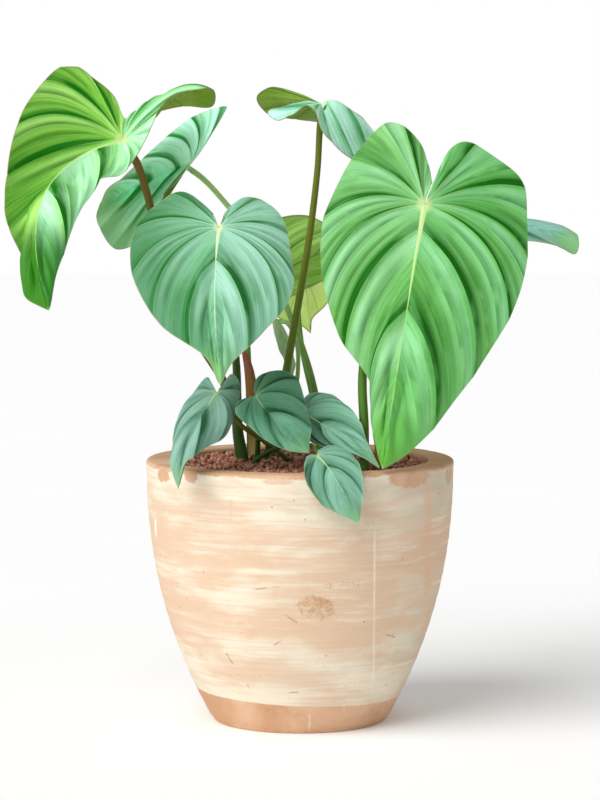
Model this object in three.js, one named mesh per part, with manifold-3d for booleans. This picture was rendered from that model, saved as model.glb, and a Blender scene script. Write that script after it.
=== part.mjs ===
// A potted philodendron: a thick-walled terracotta pot filled with clay granules, and a plant of
// thirteen heart-shaped leaves on their own stalks. Millimetres, +Z up, origin at the middle of the
// pot's foot, the front of the plant towards -Y.

import * as THREE from 'three';
import { mergeVertices } from 'three/addons/utils/BufferGeometryUtils.js';
import Module from 'manifold-3d';

const wasm = await Module();
wasm.setup();

// Pot
const POT_HEIGHT = 256;
const POT_RADIUS = 150;
const FOOT_RADIUS = 85.5;
const BELLY_POWER = 2.25;
const RIM_WIDTH = 25;
const CAVITY_FOOT_RADIUS = 66;
const FLOOR_THICKNESS = 24;
const RIM_EDGE = 3;
const POT_SIDES = 40;
const OUTER_STEPS = 13;
const INNER_STEPS = 5;

// Granules
const BED_DROP = 7;
const BED_DOME = 4;
const BED_RINGS = 12;
const GRAIN_RELIEF = 2.6;
const GRAIN_JITTER = 2.5;
const HASH_X = 12.9898;
const HASH_Y = 78.233;
const HASH_SCALE = 43758.5453;

// Gaps, blades and stalks
const GAP = 0.35;
const WALL_GAP = 0.7;
const BLADE_THICKNESS = 0.9;
const PLEAT_LEVEL = 0.5;
const PLEAT_RISE = 4;
const PLEAT_FADE = 0.75;
const BOW_FADE = 1.5;
const STALK_DEPTH = 40;
const STALK_SIDES = 8;
const STALK_STEPS = 12;
const SEAT_INSET = 5;
const FLARE_POWER = 3;
const BLUNT_POWER = 6;
const SAME_POINT = 1e-4;
const CHART_STEP = 0.01;

// Colours and roughness
const GREEN_BRIGHT = 0x57a53c;
const GREEN_MINT = 0x6fb48a;
const GREEN_DARK = 0x4a8a6a;
const GREEN_OLIVE = 0x8aa552;
const GREEN_PALE = 0xb4d9a6;
const STALK_GREEN = 0x4f7f24;
const STALK_OLIVE = 0x6b6420;
const SHEATH_RUST = 0x9c5f2a;
const SHEATH_TAN = 0x8a6a34;
const TERRACOTTA = 0xd9a87f;
const GRANULE_RED = 0x9a5040;
const BLADE_ROUGHNESS = 0.45;
const STALK_ROUGHNESS = 0.5;
const SHEATH_ROUGHNESS = 0.6;
const POT_ROUGHNESS = 0.85;
const GRANULE_ROUGHNESS = 0.9;

// A kind of leaf has veins in each half, and basal is how many of them leave the junction. Pleat,
// puff and lag are shares of the veins' spacing or length: how high the blade stands between two
// veins, how far a vein bows up, and how far it bows towards the notch. Crowd draws the veins that
// leave the rib together towards the junction.
const BIG_LEAF = {
  veins: 7, basal: 4, crowd: 1.9, across: 5, stepsPerVein: 3,
  pleat: 0.2, puff: 0.1, lag: 0.14,
};
const ROUND_LEAF = { ...BIG_LEAF, veins: 6, crowd: 2.1 };
const PUFFED_LEAF = { ...BIG_LEAF, crowd: 1.6, pleat: 0.3, puff: 0.03, lag: 0 };
const CREASED_LEAF = { ...BIG_LEAF, puff: 0.03, lag: 0 };
const SMALL_LEAF = {
  veins: 5, basal: 3, crowd: 1.7, across: 4, stepsPerVein: 2,
  pleat: 0.14, puff: 0.1, lag: 0.12,
};
const PLAIN_LEAF = {
  veins: 4, basal: 2, crowd: 1.5, across: 3, stepsPerVein: 2,
  pleat: 0.08, puff: 0.04, lag: 0.05,
};

// Each blade is given by its rib (junction, middle, tip) and by the margins of its two halves, from
// the notch at the junction round the lobe to the tip. Left and right are as seen on the upper face
// with the tip pointing down. A margin point may carry three more numbers, which push the middle
// of the blade beside it, where a lobe is rolled. A stalk is given by its place in the granules and
// by the points on its way up to the junction.
const LEAVES = [
  {
    name: 'left', kind: BIG_LEAF, color: GREEN_BRIGHT,
    rib: [[-170, -30, 566], [-240, -98, 514], [-233, -140, 409]],
    left: [[-168, -30, 586], [-182, -34, 612], [-223, -30, 637], [-258, -46, 603], [-275, -68, 552],
      [-276, -90, 491], [-258, -112, 451], [-257, -132, 422]],
    right: [[-162, -20, 584, -4, 0, 7], [-151, -8, 588, -3, 0, 13], [-134, 4, 594, -2, 0, 20],
      [-109, 14, 598, -4, 0, 22], [-85, 14, 599, -4, 0, 28], [-83, 0, 613, -3, 0, 22],
      [-106, -18, 613, 0, -2, 12], [-128, -28, 605, 2, 0, 1], [-138, -34, 588], [-145, -38, 572],
      [-156, -41, 551], [-170, -46, 533], [-190, -58, 528], [-205, -72, 506], [-221, -104, 463]],
    stalk: [[-59, 42], [-60, 40, 270], [-75, 32, 327], [-100, 26, 370], [-134, 6, 459],
      [-149, -10, 518], [-158, -16, 545]],
    stalkColor: STALK_OLIVE, baseRadius: 4.6, topRadius: 3.6,
  },
  {
    name: 'rear_left', kind: PUFFED_LEAF, color: GREEN_MINT,
    rib: [[-109, 70, 541], [-152, 62, 524], [-196, 20, 502]],
    left: [[-106, 68, 553], [-96, 65, 573], [-72, 62, 598, 2, 0, 1], [-102, 56, 590, 7, -3, 5],
      [-136, 38, 564, 7, -4, 9], [-171, 22, 531, 5, -3, 7], [-187, 16, 517, 2, 0, 3]],
    right: [[-115, 66, 535], [-125, 56, 522], [-136, 46, 507], [-145, 40, 483], [-159, 34, 465],
      [-180, 24, 459], [-193, 16, 475], [-198, 16, 492]],
    stalk: [[22, 50], [16, 54, 310], [-1, 60, 369], [-44, 70, 463], [-78, 80, 507], [-97, 84, 527]],
    stalkColor: STALK_GREEN, baseRadius: 3.6, topRadius: 2.5,
  },
  {
    name: 'centre_left', kind: ROUND_LEAF, color: GREEN_MINT,
    rib: [[-77, -62, 483], [-80, -108, 417], [-74, -146, 340]],
    left: [[-83, -54, 496], [-95, -44, 508], [-115, -36, 516], [-142, -38, 501], [-161, -52, 471],
      [-157, -76, 434], [-131, -104, 393], [-89, -130, 365]],
    right: [[-72, -54, 496], [-65, -44, 505], [-50, -36, 511], [-23, -38, 500], [-10, -52, 467],
      [-9, -84, 418], [-34, -110, 387], [-63, -134, 359]],
    stalk: [[-56, 11], [-61, 9, 283], [-62, -2, 348], [-69, -20, 412], [-76, -42, 465]],
    stalkColor: STALK_GREEN, baseRadius: 8.5, topRadius: 3.1, flare: true,
  },
  {
    name: 'top', kind: CREASED_LEAF, color: GREEN_MINT,
    rib: [[20, 28, 601], [52, 35, 592], [95, 75, 524]],
    left: [[9, 20, 604], [-10, 8, 600], [-31, 0, 593], [-22, -4, 585], [-8, 0, 589], [6, 6, 600],
      [15, 2, 593], [22, -2, 573], [51, 18, 547], [79, 52, 528]],
    right: [[0, 40, 606], [-24, 34, 617], [-42, 45, 609], [-34, 58, 592], [-10, 62, 587],
      [30, 78, 580, 0, 0, -6], [70, 88, 565, 0, 0, -8], [96, 88, 545]],
    stalk: [[-30, 25], [-24, 24, 281], [-9, 24, 364], [8, 25, 463], [17, 25, 536], [20, 26, 583]],
    stalkColor: STALK_OLIVE, baseRadius: 4.6, topRadius: 2.8,
  },
  {
    name: 'right', kind: BIG_LEAF, color: GREEN_BRIGHT,
    rib: [[118, -72, 505], [99, -108, 400], [77, -131, 260]],
    left: [[125, -66, 525], [123, -60, 541], [113, -50, 565], [84, -40, 583], [50, -38, 547],
      [23, -48, 493], [21, -64, 440], [36, -80, 383], [67, -96, 336], [66, -114, 300]],
    right: [[127, -66, 525], [133, -60, 543], [142, -55, 557], [155, -50, 564], [175, -42, 557],
      [210, -36, 530], [218, -36, 492], [214, -48, 434], [189, -64, 378], [150, -86, 325],
      [106, -116, 276]],
    stalk: [[61, -85], [61, -80, 292], [60, -64, 347], [75, -48, 423], [103, -46, 478]],
    stalkColor: STALK_GREEN, baseRadius: 4.9, topRadius: 3.4,
  },
  {
    name: 'rear_centre', kind: BIG_LEAF, color: GREEN_OLIVE,
    rib: [[-52, 100, 413], [20, 106, 451], [93, 110, 465]],
    left: [[-56, 96, 419], [-58, 92, 439], [-44, 86, 474], [-20, 82, 488], [6, 84, 490], [28, 88, 482],
      [52, 94, 473], [76, 102, 469]],
    right: [[-56, 104, 407], [-56, 110, 392], [-40, 116, 388], [-18, 120, 401], [2, 120, 413],
      [22, 118, 424], [52, 116, 442], [77, 114, 455]],
    stalk: [[-45, 76], [-47, 78, 276], [-51, 82, 326], [-53, 88, 365], [-54, 92, 395]],
    stalkColor: STALK_GREEN, baseRadius: 4.2, topRadius: 2.8,
  },
  {
    name: 'rear_low', kind: SMALL_LEAF, color: GREEN_OLIVE,
    rib: [[0, 152, 448], [7, 166, 405], [11, 174, 366]],
    left: [[10, 146, 457], [26, 146, 453], [39, 152, 433], [36, 162, 410], [26, 168, 395],
      [13, 172, 381]],
    right: [[-8, 146, 453], [-22, 146, 447], [-38, 154, 422], [-36, 164, 396], [-20, 170, 381],
      [1, 174, 374]],
    stalk: [[20, 80], [14, 94, 301], [2, 114, 356], [-2, 138, 403]],
    stalkColor: STALK_GREEN, baseRadius: 3.6, topRadius: 2.2,
  },
  {
    name: 'far_right', kind: SMALL_LEAF, color: GREEN_MINT,
    rib: [[147, 110, 469], [218, 108, 479], [279, 86, 464]],
    left: [[141, 104, 463], [130, 92, 451], [139, 74, 442], [176, 62, 449], [226, 64, 466],
      [260, 66, 458], [275, 74, 453]],
    right: [[141, 116, 475], [134, 130, 482], [145, 150, 488], [192, 160, 489], [234, 150, 484],
      [263, 126, 478], [279, 104, 471]],
    stalk: [[80, 40], [85, 44, 284], [101, 60, 336], [124, 88, 410]],
    stalkColor: STALK_GREEN, baseRadius: 4.2, topRadius: 2.6,
  },
  {
    name: 'young', kind: PLAIN_LEAF, color: GREEN_PALE,
    rib: [[-26, 48, 392], [-16, 50, 364], [-8, 50, 328]],
    left: [[-28, 47, 389], [-25, 48, 374], [-16, 50, 348]],
    right: [[-23, 50, 389], [-13, 54, 370], [-5, 54, 346]],
    stalk: [[-6, 44], [-6, 42, 299], [-2, 38, 341], [-3, 38, 364], [-12, 40, 385]],
    stalkColor: STALK_OLIVE, baseRadius: 2.6, topRadius: 2,
  },
  {
    name: 'low_left', kind: SMALL_LEAF, color: GREEN_DARK,
    rib: [[-79, -78, 327], [-97, -112, 295], [-113, -152, 244]],
    left: [[-84, -72, 334], [-88, -66, 341], [-100, -70, 328], [-114, -88, 309], [-120, -116, 281],
      [-120, -140, 260]],
    right: [[-73, -74, 335], [-65, -66, 344], [-57, -62, 332], [-60, -70, 312], [-71, -104, 288],
      [-92, -130, 277], [-108, -146, 265]],
    stalk: [[-8, -6], [-16, -24, 261], [-37, -46, 279], [-57, -60, 295], [-71, -66, 315]],
    stalkColor: STALK_OLIVE, baseRadius: 2.8, topRadius: 2,
  },
  {
    name: 'low_centre', kind: SMALL_LEAF, color: GREEN_DARK,
    rib: [[-42, -76, 323], [-21, -98, 299], [8, -120, 274]],
    left: [[-48, -78, 323], [-59, -86, 318], [-61, -92, 309], [-46, -98, 295], [-28, -108, 282],
      [-8, -116, 275]],
    right: [[-44, -70, 328], [-41, -60, 339], [-24, -52, 346], [-4, -52, 340], [4, -66, 319],
      [10, -94, 295]],
    stalk: [[-42, -6], [-41, -14, 269], [-40, -40, 297]],
    stalkColor: STALK_GREEN, baseRadius: 3, topRadius: 2,
  },
  {
    name: 'low_right', kind: SMALL_LEAF, color: GREEN_DARK,
    rib: [[2, -34, 304], [33, -80, 289], [75, -114, 259]],
    left: [[-2, -34, 299], [-4, -42, 288], [11, -64, 279], [25, -76, 275], [49, -92, 274],
      [62, -106, 267]],
    right: [[0, -30, 312], [8, -30, 321], [26, -40, 323], [43, -66, 315], [57, -95, 300],
      [65, -104, 280]],
    stalk: [[-33, 8], [-29, 0, 274], [-16, -10, 279]],
    stalkColor: STALK_GREEN, baseRadius: 3, topRadius: 2,
  },
  {
    name: 'low_front', kind: SMALL_LEAF, color: GREEN_DARK,
    rib: [[16, -138, 273], [33, -168, 255], [54, -176, 215]],
    left: [[11, -134, 274], [6, -142, 272], [5, -164, 256], [16, -170, 236], [35, -172, 223]],
    right: [[17, -122, 276], [26, -116, 280], [42, -122, 278], [57, -158, 261], [58, -170, 236]],
    stalk: [[-47, -24], [-31, -40, 266], [-8, -66, 276], [11, -96, 278]],
    stalkColor: STALK_GREEN, baseRadius: 2.8, topRadius: 1.9,
  },
];

const SHEATH_RED = {
  points: [[-46, 47, 212], [-46, 47, 250], [-47, 45, 290], [-48, 42, 320], [-51, 40, 342], [-56, 38, 360]],
  baseRadius: 6.5, topRadius: 1.8, flatness: 0.5, blunt: true,
};
const SHEATH_RIGHT = {
  points: [[71, -78, 222], [72, -77, 250], [75, -75, 270], [72, -74, 288], [69, -74, 304]],
  baseRadius: 3.6, topRadius: 1, flatness: 0.6, blunt: true,
};
const STUB = {
  points: [[-18, 8, 226], [-18, 8, 250], [-17, 6, 258]],
  baseRadius: 2, topRadius: 1.6,
};

// Materials
function material(color, roughness) {
  return new THREE.MeshStandardMaterial({ color, roughness, metalness: 0 });
}

function terracottaMaterial() {
  return material(TERRACOTTA, POT_ROUGHNESS);
}

function granuleMaterial() {
  return material(GRANULE_RED, GRANULE_ROUGHNESS);
}

function bladeMaterial(color) {
  return material(color, BLADE_ROUGHNESS);
}

function stalkMaterial(color) {
  return material(color, STALK_ROUGHNESS);
}

function sheathMaterial(color) {
  return material(color, SHEATH_ROUGHNESS);
}

// Meshes and solids
function vector(numbers) {
  return new THREE.Vector3(numbers[0], numbers[1], numbers[2]);
}

function namedMesh(name, geometry, meshMaterial) {
  const mesh = new THREE.Mesh(geometry, meshMaterial);
  mesh.name = name;
  return mesh;
}

// Keeps only positions, joins equal points, drops collapsed triangles and turns the faces out.
function closedGeometry(source) {
  const bare = source.clone();
  bare.deleteAttribute('normal');
  bare.deleteAttribute('uv');
  const merged = mergeVertices(bare, SAME_POINT);
  const position = merged.getAttribute('position');
  const corner = (vertex) => new THREE.Vector3().fromBufferAttribute(position, vertex);
  const old = merged.getIndex().array;
  const triangles = [];
  let volume = 0;
  for (let first = 0; first < old.length; first += 3) {
    const [a, b, c] = old.slice(first, first + 3);
    if (a !== b && b !== c && a !== c) {
      triangles.push(a, b, c);
      volume += corner(a).dot(corner(b).cross(corner(c)));
    }
  }
  if (volume < 0) triangles.reverse();
  merged.setIndex(triangles);
  return merged;
}

function toManifold(geometry) {
  return new wasm.Manifold(new wasm.Mesh({
    numProp: 3,
    vertProperties: Float32Array.from(geometry.getAttribute('position').array),
    triVerts: Uint32Array.from(geometry.getIndex().array),
  }));
}

function toGeometry(manifold) {
  const mesh = manifold.getMesh();
  const geometry = new THREE.BufferGeometry();
  geometry.setAttribute('position', new THREE.BufferAttribute(Float32Array.from(mesh.vertProperties), 3));
  geometry.setIndex(new THREE.BufferAttribute(Uint32Array.from(mesh.triVerts), 1));
  return geometry;
}

// Cuts one solid by others, and keeps the largest piece that is left.
function cutClear(geometry, cutters) {
  let solid = toManifold(geometry);
  for (const cutter of cutters) {
    solid = solid.subtract(toManifold(cutter));
  }
  const pieces = solid.decompose();
  pieces.sort((one, other) => other.volume() - one.volume());
  return toGeometry(pieces[0]);
}

// Pot and granules are turned on the Z axis from profiles of radius and height.
function turned(profile) {
  const points = profile.map(([radius, height]) => new THREE.Vector2(radius, height));
  const lathe = new THREE.LatheGeometry(points, POT_SIDES);
  lathe.rotateX(Math.PI / 2);
  return closedGeometry(lathe);
}

function outerRadius(height) {
  const down = 1 - height / POT_HEIGHT;
  return POT_RADIUS - (POT_RADIUS - FOOT_RADIUS) * down ** BELLY_POWER;
}

function cavityRadius(height) {
  const down = (POT_HEIGHT - height) / (POT_HEIGHT - FLOOR_THICKNESS);
  const mouth = POT_RADIUS - RIM_WIDTH;
  return mouth - (mouth - CAVITY_FOOT_RADIUS) * down ** BELLY_POWER;
}

function cavityHeight(step) {
  const mouth = POT_HEIGHT - RIM_EDGE;
  return mouth - (mouth - FLOOR_THICKNESS) * (step / INNER_STEPS);
}

function potGeometry() {
  const profile = [[0, 0], [FOOT_RADIUS - RIM_EDGE, 0]];
  const straight = POT_HEIGHT - 2 * RIM_EDGE;
  for (let step = 0; step <= OUTER_STEPS; step += 1) {
    const height = RIM_EDGE + straight * (step / OUTER_STEPS);
    profile.push([outerRadius(height), height]);
  }
  profile.push([POT_RADIUS - RIM_EDGE, POT_HEIGHT]);
  profile.push([POT_RADIUS - RIM_WIDTH + RIM_EDGE, POT_HEIGHT]);
  for (let step = 0; step <= INNER_STEPS; step += 1) {
    const height = cavityHeight(step);
    profile.push([cavityRadius(height), height]);
  }
  profile.push([0, FLOOR_THICKNESS]);
  return turned(profile);
}

// A repeatable value between -1 and 1 for a place on the bed.
function grain(x, y) {
  const wave = Math.sin(Math.round(x) * HASH_X + Math.round(y) * HASH_Y) * HASH_SCALE;
  return 2 * (wave - Math.floor(wave)) - 1;
}

// Lifts and shifts the corners of the bed's top, and leaves its middle and its edge in line.
function roughen(bed, top, edge) {
  const position = bed.getAttribute('position');
  for (let vertex = 0; vertex < position.count; vertex += 1) {
    const { x, y, z } = new THREE.Vector3().fromBufferAttribute(position, vertex);
    const radius = Math.hypot(x, y);
    const onTop = z > top - 2 * GRAIN_RELIEF;
    if (onTop) {
      position.setZ(vertex, z + GRAIN_RELIEF * grain(x, y));
    }
    if (onTop && radius < edge - WALL_GAP && radius > WALL_GAP) {
      position.setX(vertex, x + GRAIN_JITTER * grain(y, x));
      position.setY(vertex, y + GRAIN_JITTER * grain(x + y, x));
    }
  }
}

function bedGeometry(holes) {
  const top = POT_HEIGHT - BED_DROP;
  const bottom = FLOOR_THICKNESS + GAP;
  const edge = cavityRadius(top) - WALL_GAP;
  const profile = [[0, bottom]];
  for (let step = INNER_STEPS; step > 0; step -= 1) {
    const height = cavityHeight(step);
    profile.push([cavityRadius(height) - WALL_GAP, Math.max(height, bottom)]);
  }
  for (let ring = 0; ring <= BED_RINGS; ring += 1) {
    const share = ring / BED_RINGS;
    profile.push([edge * (1 - share), top - GRAIN_RELIEF + BED_DOME * share]);
  }
  const bed = turned(profile);
  roughen(bed, top, edge);
  return cutClear(bed, holes);
}

// A blade half at u (rib 0, margin 1) and v (notch 0, tip 1). Veins run along u.
class BladeHalf {
  constructor(leaf, side) {
    const [junction, middle, tip] = leaf.rib.map(vector);
    const bend = middle.multiplyScalar(2).addScaledVector(junction, -0.5).addScaledVector(tip, -0.5);
    const edge = [...leaf[side], leaf.rib[2]];
    const pushes = edge.map((point) => new THREE.Vector3(point[3] ?? 0, point[4] ?? 0, point[5] ?? 0));
    this.rib = new THREE.QuadraticBezierCurve3(junction, bend, tip);
    this.margin = new THREE.CatmullRomCurve3(edge.map(vector), false, 'centripetal');
    this.push = new THREE.CatmullRomCurve3(pushes);
    this.kind = leaf.kind;
    this.sign = side === 'right' ? 1 : -1;
    this.pole = this.kind.basal / this.kind.veins;
  }

  vein(v) {
    const { crowd, puff, lag } = this.kind;
    const past = Math.max(0, (v - this.pole) / (1 - this.pole));
    const along = past ** crowd;
    const start = this.rib.getPoint(along);
    const end = this.margin.getPointAt(v);
    const tangent = this.rib.getTangent(along);
    const span = end.distanceTo(start);
    const chord = end.clone().sub(start).normalize();
    const notchwards = chord.clone().multiplyScalar(chord.dot(tangent)).sub(tangent).normalize();
    const faceEnd = this.margin.getPointAt(Math.max(v, this.pole)).sub(start);
    const up = tangent.clone().cross(faceEnd).multiplyScalar(this.sign).normalize();
    const middle = start.clone().add(end).multiplyScalar(0.5);
    middle.addScaledVector(up, puff * span);
    const bow = lag * span * Math.min(1, v / this.pole) * (1 - past) ** BOW_FADE;
    middle.addScaledVector(notchwards, bow);
    middle.add(this.push.getPoint(this.margin.getUtoTmapping(v)));
    return { start, middle, end };
  }

  base(u, v) {
    const { start, middle, end } = this.vein(v);
    return start.multiplyScalar((1 - u) * (1 - 2 * u))
      .addScaledVector(middle, 4 * u * (1 - u))
      .addScaledVector(end, u * (2 * u - 1));
  }

  point(u, v) {
    const here = this.base(u, v);
    if (u === 0 || v === 1) return here;
    const { veins, pleat } = this.kind;
    const before = Math.max(0, v - CHART_STEP);
    const after = Math.min(1, v + CHART_STEP);
    const along = this.base(u, after).sub(this.base(u, before));
    const out = this.base(Math.min(1, u + CHART_STEP), v).sub(this.base(u - CHART_STEP, v));
    const spacing = along.length() / (after - before) / veins;
    const arch = Math.abs(Math.sin(Math.PI * v * veins)) - PLEAT_LEVEL;
    const ease = Math.min(1, PLEAT_RISE * u) * (1 - PLEAT_FADE * u);
    const normal = along.cross(out).multiplyScalar(-this.sign).normalize();
    return here.addScaledVector(normal, pleat * arch * spacing * ease);
  }
}

// The grid of a blade runs from the left margin over the rib to the right margin.
function bladePoints(leaf) {
  const { across, veins, stepsPerVein } = leaf.kind;
  const rows = veins * stepsPerVein;
  const left = new BladeHalf(leaf, 'left');
  const right = new BladeHalf(leaf, 'right');
  const points = [];
  for (let row = 0; row <= rows; row += 1) {
    for (let column = -across; column <= across; column += 1) {
      const half = column < 0 ? left : right;
      points.push(half.point(Math.abs(column) / across, row / rows));
    }
  }
  return points;
}

// Points that lie in one place, such as those at the junction, share one normal.
function bladeNormals(points, triangles) {
  const place = (point) => point.toArray().map((value) => value.toFixed(3)).join(' ');
  const sums = new Map(points.map((point) => [place(point), new THREE.Vector3()]));
  for (let first = 0; first < triangles.length; first += 3) {
    const [a, b, c] = triangles.slice(first, first + 3).map((vertex) => points[vertex]);
    const face = b.clone().sub(a).cross(c.clone().sub(a));
    const places = new Set([place(a), place(b), place(c)]);
    if (places.size === 3) {
      places.forEach((key) => sums.get(key).add(face));
    }
  }
  return points.map((point) => sums.get(place(point)).clone().normalize());
}

// The corners round the edge of a grid, in order.
function gridEdge(columns, rows) {
  const width = columns + 1;
  const across = Array.from({ length: columns }, (_, column) => column);
  const down = Array.from({ length: rows }, (_, row) => row);
  return [
    ...across,
    ...down.map((row) => row * width + columns),
    ...across.map((column) => rows * width + columns - column),
    ...down.map((row) => (rows - row) * width),
  ];
}

// Both faces of a blade share one set of triangles, and a wall joins them round the edge.
function bladeGeometry(leaf, thickness) {
  const columns = 2 * leaf.kind.across;
  const rows = leaf.kind.veins * leaf.kind.stepsPerVein;
  const sheet = Array.from(new THREE.PlaneGeometry(1, 1, columns, rows).getIndex().array);
  const points = bladePoints(leaf);
  const normals = bladeNormals(points, sheet);
  const raised = (height) => (
    points.map((point, vertex) => point.clone().addScaledVector(normals[vertex], height))
  );
  const faces = [...raised(thickness / 2), ...raised(-thickness / 2)];
  const under = points.length;
  const triangles = [...sheet];
  for (let first = 0; first < sheet.length; first += 3) {
    triangles.push(under + sheet[first], under + sheet[first + 2], under + sheet[first + 1]);
  }
  const edge = gridEdge(columns, rows);
  edge.forEach((from, place) => {
    const to = edge[(place + 1) % edge.length];
    triangles.push(from, to, under + to);
    triangles.push(from, under + to, under + from);
  });
  const geometry = new THREE.BufferGeometry().setFromPoints(faces);
  geometry.setIndex(triangles);
  return closedGeometry(geometry);
}

// How much slimmer a stem is at a share of its length: a flared one slims at its foot, a blunt one
// near its top, and any other evenly.
function slimming({ flare = false, blunt = false }, share) {
  if (flare) return 1 - (1 - share) ** FLARE_POWER;
  if (blunt) return share ** BLUNT_POWER;
  return share;
}

// A stem is a round section drawn along a curve and then slimmed ring by ring towards its top.
function stemGeometry(stem, extra) {
  const { points, baseRadius, topRadius, flatness = 1 } = stem;
  const route = points.map(vector);
  route[0].z -= extra;
  const curve = new THREE.CatmullRomCurve3(route, false, 'centripetal');
  const fullRadius = baseRadius + extra;
  const section = new THREE.Shape();
  section.absellipse(0, 0, fullRadius, fullRadius * flatness, 0, 2 * Math.PI);
  const tube = new THREE.ExtrudeGeometry(section, {
    steps: STALK_STEPS,
    curveSegments: STALK_SIDES / 2,
    extrudePath: curve,
    bevelEnabled: false,
  });
  const centres = curve.getSpacedPoints(STALK_STEPS);
  const position = tube.getAttribute('position');
  for (let vertex = 0; vertex < position.count; vertex += 1) {
    const corner = new THREE.Vector3().fromBufferAttribute(position, vertex);
    const distances = centres.map((centre) => corner.distanceTo(centre));
    const ring = distances.indexOf(Math.min(...distances));
    const slim = slimming(stem, ring / STALK_STEPS);
    const radius = baseRadius + (topRadius - baseRadius) * slim + extra;
    corner.sub(centres[ring]).multiplyScalar(radius / fullRadius).add(centres[ring]);
    position.setXYZ(vertex, corner.x, corner.y, corner.z);
  }
  return closedGeometry(tube);
}

// A stalk starts deep in the granules and ends a little way along the rib, under the blade.
function leafStalk(leaf) {
  const [footX, footY] = leaf.stalk[0];
  const surface = POT_HEIGHT - BED_DROP;
  const { rib } = new BladeHalf(leaf, 'left');
  const seat = rib.getPointAt(SEAT_INSET / rib.getLength()).toArray();
  const foot = [[footX, footY, surface - STALK_DEPTH], [footX, footY, surface]];
  const { baseRadius, topRadius, flare } = leaf;
  return { points: [...foot, ...leaf.stalk.slice(1), seat], baseRadius, topRadius, flare };
}

// The room that a blade needs is the same blade, thicker by the gap on each side.
function roomAround(leaf) {
  return [bladeGeometry(leaf, BLADE_THICKNESS + 2 * GAP)];
}

// Parts
function makePot() {
  return namedMesh('pot', potGeometry(), terracottaMaterial());
}

function makeBlade(leaf) {
  const geometry = bladeGeometry(leaf, BLADE_THICKNESS);
  return namedMesh(`blade_${leaf.name}`, geometry, bladeMaterial(leaf.color));
}

function makeStalk(leaf) {
  const geometry = cutClear(stemGeometry(leafStalk(leaf), 0), roomAround(leaf));
  return namedMesh(`stalk_${leaf.name}`, geometry, stalkMaterial(leaf.stalkColor));
}

function makeSheathRed() {
  return namedMesh('sheath_red', stemGeometry(SHEATH_RED, 0), sheathMaterial(SHEATH_RUST));
}

function makeSheathRight() {
  return namedMesh('sheath_right', stemGeometry(SHEATH_RIGHT, 0), sheathMaterial(SHEATH_TAN));
}

function makeStub() {
  return namedMesh('stub', stemGeometry(STUB, 0), stalkMaterial(STALK_GREEN));
}

// Each stem stands in a plain hole, a gap wider than itself.
function makeGranules() {
  const stems = [...LEAVES.map(leafStalk), SHEATH_RED, SHEATH_RIGHT, STUB];
  const holes = stems.map((stem) => stemGeometry(stem, GAP));
  return namedMesh('granules', bedGeometry(holes), granuleMaterial());
}

const plant = new THREE.Group();
plant.add(makePot(), makeGranules());
plant.add(...LEAVES.map(makeBlade), ...LEAVES.map(makeStalk));
plant.add(makeSheathRed(), makeSheathRight(), makeStub());

export default plant;
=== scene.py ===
# %% [markdown]
# A potted philodendron: thirteen broad, pleated, heart-shaped leaves on their own stalks, standing
# in clay granules in a whitewashed terracotta pot. The frame below gives the sizes and places of
# every solid, so each piece here is made where the real one stands. Lengths in the tables are in
# millimetres, and meshes are written in metres.

# %% The frame and the tools
import math
import bmesh
import bpy
import numpy as np
from mathutils import Matrix, Vector


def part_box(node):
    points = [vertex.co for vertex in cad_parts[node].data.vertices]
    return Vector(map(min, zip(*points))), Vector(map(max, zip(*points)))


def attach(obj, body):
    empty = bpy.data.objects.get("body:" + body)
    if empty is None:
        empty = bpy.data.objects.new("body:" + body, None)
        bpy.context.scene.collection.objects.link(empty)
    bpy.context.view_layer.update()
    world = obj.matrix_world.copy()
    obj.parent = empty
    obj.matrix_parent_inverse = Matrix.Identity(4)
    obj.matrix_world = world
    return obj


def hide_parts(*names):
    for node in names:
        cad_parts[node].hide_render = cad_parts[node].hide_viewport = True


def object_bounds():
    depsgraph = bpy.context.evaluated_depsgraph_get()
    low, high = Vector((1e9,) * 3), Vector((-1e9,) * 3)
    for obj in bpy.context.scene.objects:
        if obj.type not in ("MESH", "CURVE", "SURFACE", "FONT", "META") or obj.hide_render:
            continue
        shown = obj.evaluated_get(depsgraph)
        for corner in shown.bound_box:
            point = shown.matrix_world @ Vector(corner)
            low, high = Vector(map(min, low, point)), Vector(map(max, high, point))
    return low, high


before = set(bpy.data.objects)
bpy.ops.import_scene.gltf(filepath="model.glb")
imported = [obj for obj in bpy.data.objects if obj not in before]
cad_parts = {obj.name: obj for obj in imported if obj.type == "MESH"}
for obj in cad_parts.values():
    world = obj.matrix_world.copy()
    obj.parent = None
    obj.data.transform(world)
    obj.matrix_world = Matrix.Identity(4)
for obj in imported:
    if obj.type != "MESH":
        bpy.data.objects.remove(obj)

MM = 0.001
cad_box = [list(corner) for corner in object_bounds()]
print("CAD box in metres:", [[round(value, 3) for value in corner] for corner in cad_box])

# %% [markdown]
# The photograph is taken from a little above the rim of the pot and from far away, which keeps the
# pot's sides straight. A long lens three metres in front of the plant gives the same flat
# perspective, aimed a little above the middle of the plant.

# %% Camera
CAMERA_DISTANCE = 3.0
CAMERA_HEIGHT = 0.583
AIM_HEIGHT = 0.313
LENS = 139.0

camera = bpy.data.objects.new("camera", bpy.data.cameras.new("camera"))
bpy.context.scene.collection.objects.link(camera)
camera.location = (0, -CAMERA_DISTANCE, CAMERA_HEIGHT)
look = Vector((0, 0, AIM_HEIGHT)) - camera.location
camera.rotation_euler = look.to_track_quat("-Z", "Y").to_euler()
camera.data.lens = LENS
bpy.context.scene.camera = camera
print("camera looks down by", round(math.degrees(-math.atan2(look.z, look.y)), 2), "degrees")

# %% [markdown]
# A studio gives one broad soft light from the upper left and a pale room that fills the shadows.
# The room lights the plant with under half the strength with which it shows, as clean white behind
# the plant.

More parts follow.
